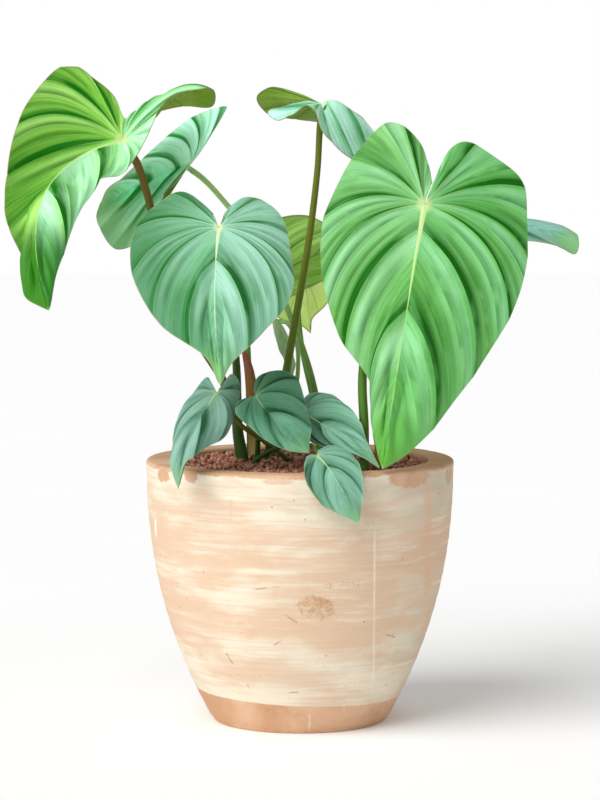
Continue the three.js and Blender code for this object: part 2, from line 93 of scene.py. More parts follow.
# %% Light
ROOM_LIGHT = 0.44
KEY_LIGHT = 2.6
KEY_SOFTNESS = math.radians(50)
KEY_FROM = Vector((-1.45, -1.4, 1.9))

scene = bpy.context.scene
scene.view_settings.view_transform = "Standard"
room = bpy.data.worlds.new("room")
scene.world = room
room.use_nodes = True
room_nodes = room.node_tree.nodes
room_nodes.clear()
seen = room_nodes.new("ShaderNodeBackground")
lighting = room_nodes.new("ShaderNodeBackground")
lighting.inputs["Strength"].default_value = ROOM_LIGHT
for background in (seen, lighting):
    background.inputs["Color"].default_value = (1, 1, 1, 1)
rays = room_nodes.new("ShaderNodeLightPath")
either = room_nodes.new("ShaderNodeMixShader")
result = room_nodes.new("ShaderNodeOutputWorld")
room.node_tree.links.new(rays.outputs["Is Camera Ray"], either.inputs[0])
room.node_tree.links.new(lighting.outputs[0], either.inputs[1])
room.node_tree.links.new(seen.outputs[0], either.inputs[2])
room.node_tree.links.new(either.outputs[0], result.inputs["Surface"])

key = bpy.data.objects.new("key_light", bpy.data.lights.new("key_light", "SUN"))
scene.collection.objects.link(key)
key.location = KEY_FROM
key.rotation_euler = (-KEY_FROM).to_track_quat("-Z", "Y").to_euler()
key.data.energy = KEY_LIGHT
key.data.angle = KEY_SOFTNESS
print("light from", [round(value, 2) for value in KEY_FROM.normalized()])

# %% [markdown]
# A finish is a small network of nodes. Written as sums and products of Python values it reads like
# the recipe that it is, so one class wraps what comes out of a socket and turns arithmetic into
# Math nodes, and another holds a finish and adds any other node. In a recipe the plain numbers say
# where a coat begins and ends, and how strongly it shows.

# %% Shader helpers
class Wire:
    """What comes out of one socket. Arithmetic on it adds Math nodes."""

    def __init__(self, finish, socket):
        self.finish = finish
        self.socket = socket

    def __add__(self, other):
        return self.finish.math("ADD", self, other)

    def __sub__(self, other):
        return self.finish.math("SUBTRACT", self, other)

    def __rsub__(self, other):
        return self.finish.math("SUBTRACT", other, self)

    def __mul__(self, other):
        return self.finish.math("MULTIPLY", self, other)

    def __truediv__(self, other):
        return self.finish.math("DIVIDE", self, other)

    def __pow__(self, other):
        return self.finish.math("POWER", self, other)

    __radd__ = __add__
    __rmul__ = __mul__


class Finish:
    """A material under construction."""

    def __init__(self, name, **shader):
        self.material = bpy.data.materials.new(name)
        self.material.use_nodes = True
        self.tree = self.material.node_tree
        self.tree.nodes.clear()
        self.shader = self.tree.nodes.new("ShaderNodeBsdfPrincipled")
        output = self.tree.nodes.new("ShaderNodeOutputMaterial")
        self.tree.links.new(self.shader.outputs[0], output.inputs["Surface"])
        for socket, value in shader.items():
            self.feed(self.shader.inputs[socket.replace("_", " ")], value)

    def feed(self, socket, value):
        """Links a wire to a socket, or sets the socket's own value."""
        if isinstance(value, Wire):
            self.tree.links.new(value.socket, socket)
        elif socket.type == "RGBA" and len(value) == 3:
            socket.default_value = (*value, 1)
        else:
            socket.default_value = value

    def node(self, kind, settings, sockets, output=0):
        """Adds a node, sets it up, feeds its sockets and gives one output."""
        added = self.tree.nodes.new(kind)
        for setting, value in settings.items():
            setattr(added, setting, value)
        for socket, value in sockets.items():
            self.feed(added.inputs[socket], value)
        return Wire(self, added.outputs[output])

    def math(self, operation, *values):
        return self.node("ShaderNodeMath", {"operation": operation}, dict(enumerate(values)))

    def mix(self, share, first, second):
        """A colour between two colours."""
        return self.node("ShaderNodeMix", {"data_type": "RGBA"}, {0: share, 6: first, 7: second}, 2)

    def ease(self, value, low, high):
        """0 up to low, 1 from high, and smooth between."""
        return self.node("ShaderNodeMapRange", {"interpolation_type": "SMOOTHSTEP"},
                         {0: value, 1: low, 2: high, 3: 0.0, 4: 1.0})

    def fade(self, value, low, high):
        """1 up to low, 0 from high, and smooth between."""
        return 1 - self.ease(value, low, high)

    def capped(self, value):
        """The value, but 1 at the most."""
        return self.math("MINIMUM", value, 1.0)

    def coats(self, coat, *more):
        """Lays coats over a first colour. Each is how much of it shows, and its colour."""
        for share, colour in more:
            coat = self.mix(share, coat, colour)
        return coat

    def place(self):
        """The place on the object, in metres."""
        return self.node("ShaderNodeTexCoord", {}, {}, "Object")

    def attribute(self, name):
        return self.node("ShaderNodeAttribute", {"attribute_name": name}, {}, "Fac")

    def split(self, vector):
        """The three parts of a vector."""
        return [self.node("ShaderNodeSeparateXYZ", {}, {0: vector}, axis) for axis in range(3)]

    def chart(self):
        """The two numbers of the map that was drawn on the piece."""
        return self.split(self.node("ShaderNodeUVMap", {"uv_map": CHART}, {}))[:2]

    def vector(self, x, y, z=0.0):
        return self.node("ShaderNodeCombineXYZ", {}, {0: x, 1: y, 2: z})

    def stretch(self, vector, by):
        """A vector with each part made longer or shorter."""
        return self.node("ShaderNodeVectorMath", {"operation": "MULTIPLY"}, {0: vector, 1: by})

    def noise(self, vector, scale=1.0, detail=2.0, rough=0.5, twist=0.0):
        return self.node("ShaderNodeTexNoise", {}, {"Vector": vector, "Scale": scale, "Detail": detail,
                                                   "Roughness": rough, "Distortion": twist})

    def colour(self, value):
        self.feed(self.shader.inputs["Base Color"], value)

    def roughness(self, value):
        self.feed(self.shader.inputs["Roughness"], value)

    def bump(self, height, distance, strength=1.0):
        """Turns the surface as if it had this relief, whose height is distance at 1."""
        normal = self.node("ShaderNodeBump", {}, {"Strength": strength, "Distance": distance,
                                                  "Height": height})
        self.feed(self.shader.inputs["Normal"], normal)


CHART = "Chart"


def finished_object(name, bm, materials):
    """Closes a bmesh into an object at the origin, shaded smooth, with its finishes."""
    mesh = bpy.data.meshes.new(name)
    bm.to_mesh(mesh)
    bm.free()
    mesh.shade_smooth()
    for finish in materials:
        mesh.materials.append(finish.material)
    piece = bpy.data.objects.new(name, mesh)
    bpy.context.scene.collection.objects.link(piece)
    return piece


# %% [markdown]
# A pale, faintly mottled floor catches the soft shadow. It is a disc far wider than the view, so that
# its edge never shows, and it isn't part of the plant.

# %% Floor
FLOOR_RADIUS = 9.0
FLOOR_SIDES = 128
FLOOR_TONES = ((0.90, 0.90, 0.90), (0.93, 0.93, 0.93))

floor_finish = Finish("floor_pale", Roughness=0.9, Emission_Strength=0.08)
floor_finish.feed(floor_finish.shader.inputs["Emission Color"], (1, 1, 1))
mottle = floor_finish.noise(floor_finish.place(), scale=3.0)
floor_finish.colour(floor_finish.mix(mottle, *FLOOR_TONES))
bm = bmesh.new()
bmesh.ops.create_circle(bm, cap_ends=True, segments=FLOOR_SIDES, radius=FLOOR_RADIUS)
floor = finished_object("floor", bm, [floor_finish])
print("floor", 2 * FLOOR_RADIUS, "m across")

# %% [markdown]
# Everything that grows on this plant follows smooth curves. A leaf's margin is a curve through a
# few points, walked by length, and its rib is a plain parabola through three. A stalk is the same
# kind of curve as a margin.

# %% Curves
CURVE_TABLE = 400
TINY = 1e-4


class SmoothCurve:
    """A centripetal curve through points."""

    def __init__(self, points):
        given = np.array(points, float)
        before = 2 * given[0] - given[1]
        after = 2 * given[-1] - given[-2]
        self.points = np.vstack([before, given, after])
        self.shares = np.linspace(0, 1, CURVE_TABLE)
        steps = np.linalg.norm(np.diff(self.at(self.shares), axis=0), axis=1)
        self.lengths = np.concatenate([[0], np.cumsum(steps)])

    def at(self, share):
        """The places at these shares, with an equal share for each span."""
        spans = len(self.points) - 3
        place = np.clip(share, 0, 1 - 1e-12) * spans
        first = place.astype(int)
        t = (place - first)[:, None]
        p0, p1, p2, p3 = (self.points[first + offset] for offset in range(4))
        gap = [np.sqrt(np.linalg.norm(b - a, axis=1))[:, None] for a, b in ((p0, p1), (p1, p2), (p2, p3))]
        middle = np.where(gap[1] < TINY, 1.0, gap[1])
        d0, d2 = (np.where(side < TINY, middle, side) for side in (gap[0], gap[2]))
        out = ((p1 - p0) / d0 - (p2 - p0) / (d0 + middle) + (p2 - p1) / middle) * middle
        into = ((p2 - p1) / middle - (p3 - p1) / (middle + d2) + (p3 - p2) / d2) * middle
        square = -3 * p1 + 3 * p2 - 2 * out - into
        cube = 2 * p1 - 2 * p2 + out + into
        return p1 + out * t + square * t ** 2 + cube * t ** 3

    def by_length(self, share):
        """The share of spans for each share of the length."""
        return np.interp(np.asarray(share) * self.lengths[-1], self.lengths, self.shares)

    def walked(self, share):
        return self.at(self.by_length(share))


class Parabola:
    """A rib: it leaves the first point, passes the middle one halfway and ends at the last."""

    def __init__(self, points):
        self.start, middle, self.end = np.array(points, float)
        self.bend = 2 * middle - (self.start + self.end) / 2

    def at(self, share):
        t = np.asarray(share, float)[:, None]
        return self.start * (1 - t) ** 2 + self.bend * 2 * t * (1 - t) + self.end * t ** 2

    def direction(self, share):
        t = np.asarray(share, float)[:, None]
        return unit(2 * (1 - t) * (self.bend - self.start) + 2 * t * (self.end - self.bend))


def unit(vectors):
    return vectors / np.maximum(np.linalg.norm(vectors, axis=-1, keepdims=True), 1e-12)


def nearest(points, line):
    """How far each point is from a line of points."""
    gaps = np.linalg.norm(points[:, None, :] - line[None, :, :], axis=2)
    return gaps.min(axis=1)

# %% [markdown]
# Each blade is given by its rib and by the margins of its two halves, from the notch at the stalk
# round the lobe to the tip. Left and right are as seen on the upper face with the tip down. Three
# more numbers on a margin point push the middle of the blade beside it, where a lobe is rolled.
# A stalk is given by its foot in the granules and by the points on its way up.
#
# The looks of a leaf are words and numbers too. green, under and stem name the colours of its upper
# face, its lower face and its stalk. For the left and the right half, bloom is a painted pale bluish
# sheen, deeper a painted shade towards the margin, and tone the share of red, green and blue, which
# also paints light and shade by making a whole leaf or half lighter or darker. depth is how dark
# the painted shade in the grooves is, lines how far out the pale vein lines reach, heart how bright
# the spot is where they meet, dryness how dry the margin is, streaks how light the broad streaks
# are, and tip_shade how dark the painted shade on the tip is. base and top are half the stalk's
# thickness at its foot and at its blade, and a stalk with a flare thins fast above its foot.

# %% Leaves
GROUND = 249
ORDINARY_LOOKS = dict(
    painted_sheen=(0.2, 0.2), margin_shade=(0, 0), groove_shade=1.0, lines=0.2, heart=0.6, dryness=0.3, streaks=0.4,
    tip_shade=0.0, tone=[(1, 1, 1)] * 2,
)
LEAVES = {
    "left": dict(
        kind="BIG_LEAF", green="bright", under="olive", stem="brown", painted_sheen=(0.05, 0.75), groove_shade=0.95,
        lines=0.15, heart=1.0, dryness=0.35, tip_shade=0.85, tone=((1.54, 1.3, 0.9), (1.75, 1.62, 2.1)),
        rib=[(-170, -30, 566), (-240, -98, 514), (-233, -140, 409)],
        left=[(-168, -30, 586), (-182, -34, 612), (-223, -30, 637), (-258, -46, 603), (-275, -68, 552),
            (-276, -90, 491), (-258, -112, 451), (-257, -132, 422)],
        right=[(-162, -20, 584, -4, 0, 7), (-151, -8, 588, -3, 0, 13), (-134, 4, 594, -2, 0, 20),
            (-109, 14, 598, -4, 0, 22), (-85, 14, 599, -4, 0, 28), (-83, 0, 613, -3, 0, 22),
            (-106, -18, 613, 0, -2, 12), (-128, -28, 605, 2, 0, 1), (-138, -34, 588), (-145, -38, 572),
            (-156, -41, 551), (-170, -46, 533), (-190, -58, 528), (-205, -72, 506), (-221, -104, 463)],
        stalk=[(-59, 42, GROUND), (-60, 40, 270), (-75, 32, 327), (-100, 26, 370), (-134, 6, 459),
            (-149, -10, 518), (-158, -16, 545)],
        base=4.6, top=3.6,
    ),
    "rear_left": dict(
        kind="PUFFED_LEAF", green="mint", under="olive", stem="lime", painted_sheen=(0.35, 0.35), groove_shade=1.3,
        lines=0.3, heart=0.3, dryness=0.2, tone=[(2.15, 2.05, 2.3)] * 2,
        rib=[(-109, 70, 541), (-152, 62, 524), (-196, 20, 502)],
        left=[(-106, 68, 553), (-96, 65, 573), (-72, 62, 598, 2, 0, 1), (-102, 56, 590, 7, -3, 5),
            (-136, 38, 564, 7, -4, 9), (-171, 22, 531, 5, -3, 7), (-187, 16, 517, 2, 0, 3)],
        right=[(-115, 66, 535), (-125, 56, 522), (-136, 46, 507), (-145, 40, 483), (-159, 34, 465),
            (-180, 24, 459), (-193, 16, 475), (-198, 16, 492)],
        stalk=[(22, 50, GROUND), (16, 54, 310), (-1, 60, 369), (-44, 70, 463), (-78, 80, 507),
            (-97, 84, 527)],
        base=3.6, top=2.5,
    ),
    "centre_left": dict(
        kind="ROUND_LEAF", green="mint", under="olive", stem="dark", painted_sheen=(0.3, 0.55),
        margin_shade=(0.65, 0.1), groove_shade=0.95, lines=0.3, heart=1.0, dryness=0.5, streaks=0.15,
        tone=((0.99, 1.03, 1.02), (1.12, 1.08, 1.2)),
        rib=[(-77, -62, 483), (-80, -108, 417), (-74, -146, 340)],
        left=[(-83, -54, 496), (-95, -44, 508), (-115, -36, 516), (-142, -38, 501), (-161, -52, 471),
            (-157, -76, 434), (-131, -104, 393), (-89, -130, 365)],
        right=[(-72, -54, 496), (-65, -44, 505), (-50, -36, 511), (-23, -38, 500), (-10, -52, 467),
            (-9, -84, 418), (-34, -110, 387), (-63, -134, 359)],
        stalk=[(-56, 11, GROUND), (-61, 9, 283), (-62, -2, 348), (-69, -20, 412), (-76, -42, 465)],
        base=8.5, top=3.1, flare=True,
    ),
    "top": dict(
        kind="CREASED_LEAF", green="mint", under="olive", stem="olive", painted_sheen=(0.6, 0.3), groove_shade=0.7,
        heart=0.2, dryness=0.2, tone=[(2.12, 1.78, 2.25)] * 2,
        rib=[(20, 28, 601), (52, 35, 592), (95, 75, 524)],
        left=[(9, 20, 604), (-10, 8, 600), (-31, 0, 593), (-22, -4, 585), (-8, 0, 589), (6, 6, 600),
            (15, 2, 593), (22, -2, 573), (51, 18, 547), (79, 52, 528)],
        right=[(0, 40, 606), (-24, 34, 617), (-42, 45, 609), (-34, 58, 592), (-10, 62, 587),
            (30, 78, 580, 0, 0, -6), (70, 88, 565, 0, 0, -8), (96, 88, 545)],
        stalk=[(-30, 25, GROUND), (-24, 24, 281), (-9, 24, 364), (8, 25, 463), (17, 25, 536),
            (20, 26, 583)],
        base=4.6, top=2.8,
    ),
    "right": dict(
        kind="BIG_LEAF", green="bright", under="olive", stem="green", painted_sheen=(0.2, 0.3), groove_shade=0.85,
        lines=0.0, heart=1.0, dryness=0.35, streaks=0.3, tone=((1.0, 1.01, 1.27), (0.92, 1.08, 1.2)),
        rib=[(118, -72, 505), (99, -108, 400), (77, -131, 260)],
        left=[(125, -66, 525), (123, -60, 541), (113, -50, 565), (84, -40, 583), (50, -38, 547),
            (23, -48, 493), (21, -64, 440), (36, -80, 383), (67, -96, 336), (66, -114, 300)],
        right=[(127, -66, 525), (133, -60, 543), (142, -55, 557), (155, -50, 564), (175, -42, 557),
            (210, -36, 530), (218, -36, 492), (214, -48, 434), (189, -64, 378), (150, -86, 325),
            (106, -116, 276)],
        stalk=[(61, -85, GROUND), (61, -80, 292), (60, -64, 347), (75, -48, 423), (103, -46, 478)],
        base=4.9, top=3.4,
    ),
    "rear_centre": dict(
        kind="BIG_LEAF", green="bright", under="leafy", stem="green",
        rib=[(-52, 100, 413), (20, 106, 451), (93, 110, 465)],
        left=[(-56, 96, 419), (-58, 92, 439), (-44, 86, 474), (-20, 82, 488), (6, 84, 490),
            (28, 88, 482), (52, 94, 473), (76, 102, 469)],
        right=[(-56, 104, 407), (-56, 110, 392), (-40, 116, 388), (-18, 120, 401), (2, 120, 413),
            (22, 118, 424), (52, 116, 442), (77, 114, 455)],
        stalk=[(-45, 76, GROUND), (-47, 78, 276), (-51, 82, 326), (-53, 88, 365), (-54, 92, 395)],
        base=4.2, top=2.8,
    ),
    "rear_low": dict(
        kind="SMALL_LEAF", green="bright", under="lime", stem="green",
        rib=[(0, 152, 448), (7, 166, 405), (11, 174, 366)],
        left=[(10, 146, 457), (26, 146, 453), (39, 152, 433), (36, 162, 410), (26, 168, 395),
            (13, 172, 381)],
        right=[(-8, 146, 453), (-22, 146, 447), (-38, 154, 422), (-36, 164, 396), (-20, 170, 381),
            (1, 174, 374)],
        stalk=[(20, 80, GROUND), (14, 94, 301), (2, 114, 356), (-2, 138, 403)],
        base=3.6, top=2.2,
    ),
    "far_right": dict(
        kind="SMALL_LEAF", green="mint", under="olive", stem="green", painted_sheen=(0.6, 0.6), groove_shade=0.8,
        lines=0.3, heart=0.5, tone=[(0.8, 0.82, 1.05)] * 2,
        rib=[(147, 110, 469), (218, 108, 479), (279, 86, 464)],
        left=[(141, 104, 463), (130, 92, 451), (139, 74, 442), (176, 62, 449), (226, 64, 466),
            (260, 66, 458), (275, 74, 453)],
        right=[(141, 116, 475), (134, 130, 482), (145, 150, 488), (192, 160, 489), (234, 150, 484),
            (263, 126, 478), (279, 104, 471)],
        stalk=[(80, 40, GROUND), (85, 44, 284), (101, 60, 336), (124, 88, 410)],
        base=4.2, top=2.6,
    ),
    "young": dict(
        kind="PLAIN_LEAF", green="pale", under="lime", stem="lime", groove_shade=0.6, lines=0.3, heart=0.0,
        dryness=0.1,
        rib=[(-26, 48, 392), (-16, 50, 364), (-8, 50, 328)],
        left=[(-28, 47, 389), (-25, 48, 374), (-16, 50, 348)],
        right=[(-23, 50, 389), (-13, 54, 370), (-5, 54, 346)],
        stalk=[(-6, 44, GROUND), (-6, 42, 299), (-2, 38, 341), (-3, 38, 364), (-12, 40, 385)],
        base=2.6, top=2,
    ),
    "low_left": dict(
        kind="SMALL_LEAF", green="dark", under="grey", stem="olive", painted_sheen=(0.3, 0.3), groove_shade=0.9,
        heart=0.7, tone=[(1.18, 1.07, 1.16)] * 2,
        rib=[(-79, -78, 327), (-97, -112, 295), (-113, -152, 244)],
        left=[(-84, -72, 334), (-88, -66, 341), (-100, -70, 328), (-114, -88, 309), (-120, -116, 281),
            (-120, -140, 260)],
        right=[(-73, -74, 335), (-65, -66, 344), (-57, -62, 332), (-60, -70, 312), (-71, -104, 288),
            (-92, -130, 277), (-108, -146, 265)],
        stalk=[(-8, -6, GROUND), (-16, -24, 261), (-37, -46, 279), (-57, -60, 295), (-71, -66, 315)],
        base=2.8, top=2,
    ),
    "low_centre": dict(
        kind="SMALL_LEAF", green="dark", under="grey", stem="dark", painted_sheen=(0.1, 0.1), lines=0.15,
        streaks=0.2, tone=[(0.61, 0.79, 0.67)] * 2,
        rib=[(-42, -76, 323), (-21, -98, 299), (8, -120, 274)],
        left=[(-48, -78, 323), (-59, -86, 318), (-61, -92, 309), (-46, -98, 295), (-28, -108, 282),
            (-8, -116, 275)],
        right=[(-44, -70, 328), (-41, -60, 339), (-24, -52, 346), (-4, -52, 340), (4, -66, 319),
            (10, -94, 295)],
        stalk=[(-42, -6, GROUND), (-41, -14, 269), (-40, -40, 297)],
        base=3, top=2,
    ),
    "low_right": dict(
        kind="SMALL_LEAF", green="dark", under="grey", stem="dark", painted_sheen=(0.35, 0.3), groove_shade=0.9,
        heart=0.4, dryness=0.4, tone=[(0.94, 1.05, 1.0)] * 2,
        rib=[(2, -34, 304), (33, -80, 289), (75, -114, 259)],
        left=[(-2, -34, 299), (-4, -42, 288), (11, -64, 279), (25, -76, 275), (49, -92, 274),
            (62, -106, 267)],
        right=[(0, -30, 312), (8, -30, 321), (26, -40, 323), (43, -66, 315), (57, -95, 300),
            (65, -104, 280)],
        stalk=[(-33, 8, GROUND), (-29, 0, 274), (-16, -10, 279)],
        base=3, top=2,
    ),
    "low_front": dict(
        kind="SMALL_LEAF", green="dark", under="grey", stem="dark", painted_sheen=(0.6, 0.6), groove_shade=0.8,
        lines=0.3, heart=0.8, dryness=0.4, streaks=0.3, tone=[(0.93, 0.98, 0.96)] * 2,
        rib=[(16, -138, 273), (33, -168, 255), (54, -176, 215)],
        left=[(11, -134, 274), (6, -142, 272), (5, -164, 256), (16, -170, 236), (35, -172, 223)],
        right=[(17, -122, 276), (26, -116, 280), (42, -122, 278), (57, -158, 261), (58, -170, 236)],
        stalk=[(-47, -24, GROUND), (-31, -40, 266), (-8, -66, 276), (11, -96, 278)],
        base=2.8, top=1.9,
    ),
}

for leaf in LEAVES.values():
    for trait, value in ORDINARY_LOOKS.items():
        leaf.setdefault(trait, value)

# Veins in each half, how many of them leave the junction, how they crowd towards it, and how high
# the blade stands between them, bows up and bows back, as shares of their spacing and length.
# fold is the height of the fine folds beside each vein, as a share of the spacing too.
KINDS = {
    "BIG_LEAF": dict(veins=7, basal=4, crowd=1.9, pleat=0.2, puff=0.1, lag=0.14, fold=0.026, across=44),
    "ROUND_LEAF": dict(veins=6, basal=4, crowd=2.1, pleat=0.2, puff=0.1, lag=0.14, fold=0.022, across=44),
    "PUFFED_LEAF": dict(veins=7, basal=4, crowd=1.6, pleat=0.3, puff=0.03, lag=0.0, fold=0.012, across=40),
    "CREASED_LEAF": dict(veins=7, basal=4, crowd=1.9, pleat=0.2, puff=0.03, lag=0.0, fold=0.016, across=40),
    "SMALL_LEAF": dict(veins=5, basal=3, crowd=1.7, pleat=0.14, puff=0.1, lag=0.12, fold=0.006, across=28),
    "PLAIN_LEAF": dict(veins=4, basal=2, crowd=1.5, pleat=0.08, puff=0.04, lag=0.05, fold=0.01, across=16),
}
print(len(LEAVES), "leaves in", len(KINDS), "kinds")

# %% [markdown]
# A blade could be sculpted, but its veins set everything about it: the pleats lie between them and
# the colour follows them. So a half blade is a chart, with u from the rib to the margin and v from
# the notch to the tip, and each vein is a curve of constant v. Veins of the lobe leave from the
# junction, and the others leave the rib further down.

# %% The chart of half a blade
CHART_STEP = 0.01
PLEAT_LEVEL = 0.5
PLEAT_RISE = 4
PLEAT_FADE = 0.88
BOW_FADE = 1.5


class HalfBlade:
    def __init__(self, leaf, side):
        edge = leaf[side] + [leaf["rib"][2]]
        self.rib = Parabola(leaf["rib"])
        self.margin = SmoothCurve([point[:3] for point in edge])
        self.push = SmoothCurve([point[3:] or (0, 0, 0) for point in edge])
        self.kind = KINDS[leaf["kind"]]
        self.sign = 1 if side == "right" else -1
        self.pole = self.kind["basal"] / self.kind["veins"]

    def vein(self, v):
        """Where the vein at v starts, passes and ends."""
        share = np.maximum(0, (v - self.pole) / (1 - self.pole))
        along = share ** self.kind["crowd"]
        start = self.rib.at(along)
        end = self.margin.walked(v)
        down = self.rib.direction(along)
        chord = end - start
        span = np.linalg.norm(chord, axis=1)[:, None]
        across = self.margin.walked(np.maximum(v, self.pole)) - start
        up = unit(np.cross(down, across)) * self.sign
        chord = unit(chord)
        notchwards = unit((down * chord).sum(axis=1)[:, None] * chord - down)
        back = (np.minimum(1, v / self.pole) * (1 - share) ** BOW_FADE)[:, None] * self.kind["lag"]
        middle = (start + end) / 2 + (up * self.kind["puff"] + notchwards * back) * span
        return start, middle + self.push.at(self.margin.by_length(v)), end

    def base(self, u, v):
        start, middle, end = self.vein(v)
        u = u[:, None]
        return start * (1 - u) * (1 - 2 * u) + middle * 4 * u * (1 - u) + end * u * (2 * u - 1)

    def surface(self, u, v):
        """Places on the smooth blade, the way out of its upper face, and the veins' spacing."""
        before, after = np.maximum(0, v - CHART_STEP), np.minimum(1, v + CHART_STEP)
        along = self.base(u, after) - self.base(u, before)
        out = self.base(np.minimum(1, u + CHART_STEP), v) - self.base(u - CHART_STEP, v)
        spacing = np.linalg.norm(along, axis=1) / (after - before) / self.kind["veins"]
        return self.base(u, v), unit(np.cross(along, out)) * -self.sign, spacing

    def pleats(self, u, v, spacing):
        """The height of the main pleats, which rise from the rib and ease towards the margin."""
        arch = np.abs(np.sin(np.pi * v * self.kind["veins"])) - PLEAT_LEVEL
        return self.kind["pleat"] * arch * spacing * np.minimum(1, PLEAT_RISE * u) * (1 - PLEAT_FADE * u)

# %% [markdown]
# The real blade has finer relief on its pleats: two or three low folds run beside each main vein,
# every vein lies in a narrow groove, the rib stands between two furrows, and the margin waves a
# little. Each is one short formula, added to the height of the pleats.

# %% Fine relief
FOLDS = 3
GROOVE_DEPTH = 0.7
GROOVE_WIDTH = 1.5
FURROW_DEPTH = 0.55
WAVE_HEIGHT = 0.7
WAVES = 5
MARGIN_POWER = 6
NARROW_SPAN = 34
RIB_WIDE = 3.1
RIB_FINE = 0.55
RIB_TAPER = 4
MEASURED_RIB = 265
FOLD_FROM = 0.12
FOLD_RISE = 0.4
FOLD_FALL = 0.3
GROOVE_RISE = 6
GROOVE_FADE = 0.7
FURROW_PLACE = 1.5
FURROW_WIDTH = 0.7
FURROW_RISE = 30
WAVE_DRIFT = 1.7
WAVE_DRIFTS = 5
WAVE_SPACING = 20


def rib_half_width(share, length):
    """Half the rib's width in mm: broad at the junction, a thin line from the middle on."""
    return (RIB_FINE + (RIB_WIDE - RIB_FINE) * (1 - share) ** RIB_TAPER) * length / MEASURED_RIB


def vein_gap(v, kind, spacing):
    """How far in mm a place is from the nearest main vein."""
    phase = v * kind["veins"]
    return np.abs(phase - np.round(phase)) * spacing


def fine_relief(half, u, v, spacing, rib_gap, rib_width):
    kind = half.kind
    folds = np.sin(2 * np.pi * FOLDS * v * kind["veins"]) * kind["fold"] * spacing
    folds *= np.clip((u - FOLD_FROM) / FOLD_RISE, 0, 1) * np.clip((1 - u) / FOLD_FALL, 0, 1)
    grooves = -GROOVE_DEPTH * np.exp(-(vein_gap(v, kind, spacing) / GROOVE_WIDTH) ** 2)
    grooves *= np.clip(u * GROOVE_RISE, 0, 1) * (1 - GROOVE_FADE * u)
    beside_rib = (rib_gap / rib_width - FURROW_PLACE) / FURROW_WIDTH
    furrows = -FURROW_DEPTH * np.exp(-beside_rib ** 2) * np.clip(u * FURROW_RISE, 0, 1)
    turns = 2 * np.pi * WAVES * v + WAVE_DRIFT * np.sin(WAVE_DRIFTS * v)
    waves = np.sin(turns) * WAVE_HEIGHT * u ** MARGIN_POWER * np.minimum(1, spacing / WAVE_SPACING)
    return folds + grooves + furrows + waves


def narrowness(half, v):
    """1 on the broad blade, easing to 0 where its veins grow short at the tip."""
    start, _, end = half.vein(v)
    return np.clip(np.linalg.norm(end - start, axis=1) / NARROW_SPAN, 0, 1)

# %% [markdown]
# A grid from bmesh has as many corners as the blade needs, and the chart says where each goes. The
# grid's own map stays on it, so a finish can follow the veins, and distances that a finish needs
# (to the rib, to the junction and to the margin) are kept as attributes of the corners.

# %% Blade meshes
ROWS_PER_VEIN = 18
COLUMN_POWER = 1.5
BLADE_THICKNESS = 0.8
JOIN = 1e-6
RIB_POINTS = 160
ROUNDED = 6
SHARP_ANGLE = math.radians(55)
box_low, box_high = (np.array(corner) / MM for corner in cad_box)


def blade_corners(leaf, across, along):
    """Places and distances, all in mm, for corners at -1 to 1 across and 0 to 1 along."""
    rib = Parabola(leaf["rib"])
    rib_shares = np.linspace(0, 1, RIB_POINTS)
    rib_line = rib.at(rib_shares)
    length = np.linalg.norm(np.diff(rib_line, axis=0), axis=1).sum()
    places = np.zeros((len(across), 3))
    facts = {name: np.zeros(len(across)) for name in ("rib", "star", "edge", "spacing", "along")}
    for side in ("left", "right"):
        half = HalfBlade(leaf, side)
        mine = across >= 0 if side == "right" else across < 0
        u = np.abs(across[mine]) ** COLUMN_POWER
        v = along[mine]
        base, normal, spacing = half.surface(u, v)
        gaps = np.linalg.norm(base[:, None, :] - rib_line[None, :, :], axis=2)
        share = rib_shares[gaps.argmin(axis=1)]
        rib_gap = gaps.min(axis=1)
        width = rib_half_width(share, length)
        lift = half.pleats(u, v, spacing) + fine_relief(half, u, v, spacing, rib_gap, width)
        lift[(u == 0) | (v >= 1)] = 0
        lift *= narrowness(half, v)
        places[mine] = base + normal * lift[:, None]
        facts["rib"][mine] = rib_gap / width
        facts["star"][mine] = np.linalg.norm(base - rib_line[0], axis=1) / length
        facts["edge"][mine] = nearest(base, half.margin.at(half.margin.shares))
        facts["spacing"][mine] = spacing
        facts["along"][mine] = share
    return places, facts


def blade_sheet(leaf):
    """A bmesh of the blade as one thin sheet, its upper face outwards."""
    kind = KINDS[leaf["kind"]]
    bm = bmesh.new()
    bm.loops.layers.uv.new(CHART)
    bmesh.ops.create_grid(bm, x_segments=2 * kind["across"], y_segments=kind["veins"] * ROWS_PER_VEIN,
                          size=0.5, calc_uvs=True)
    corners = np.array([vertex.co[:2] for vertex in bm.verts])
    across, along = np.round(corners[:, 0] * 2, ROUNDED), np.round(corners[:, 1] + 0.5, ROUNDED)
    places, facts = blade_corners(leaf, across, along)
    places = np.clip(places, box_low + BLADE_THICKNESS, box_high - BLADE_THICKNESS)
    layers = {name: bm.verts.layers.float.new(name) for name in facts}
    for index, vertex in enumerate(bm.verts):
        vertex.co = places[index] * MM
        for name, layer in layers.items():
            vertex[layer] = facts[name][index]
    bmesh.ops.reverse_faces(bm, faces=bm.faces)
    bmesh.ops.remove_doubles(bm, verts=bm.verts, dist=JOIN)
    return bm


def thicken(pieces, thickness):
    """Gives sheets their thickness: the second finish goes below and the third on the edge."""
    for piece in pieces:
        solid = piece.modifiers.new("thickness", "SOLIDIFY")
        solid.thickness = thickness * MM
        solid.offset = 0
        solid.material_offset = 1
        solid.material_offset_rim = 2
    graph = bpy.context.evaluated_depsgraph_get()
    solids = [bpy.data.meshes.new_from_object(piece.evaluated_get(graph)) for piece in pieces]
    for piece, mesh in zip(pieces, solids):
        piece.modifiers.clear()
        piece.data = mesh
        mesh.set_sharp_from_angle(angle=SHARP_ANGLE)
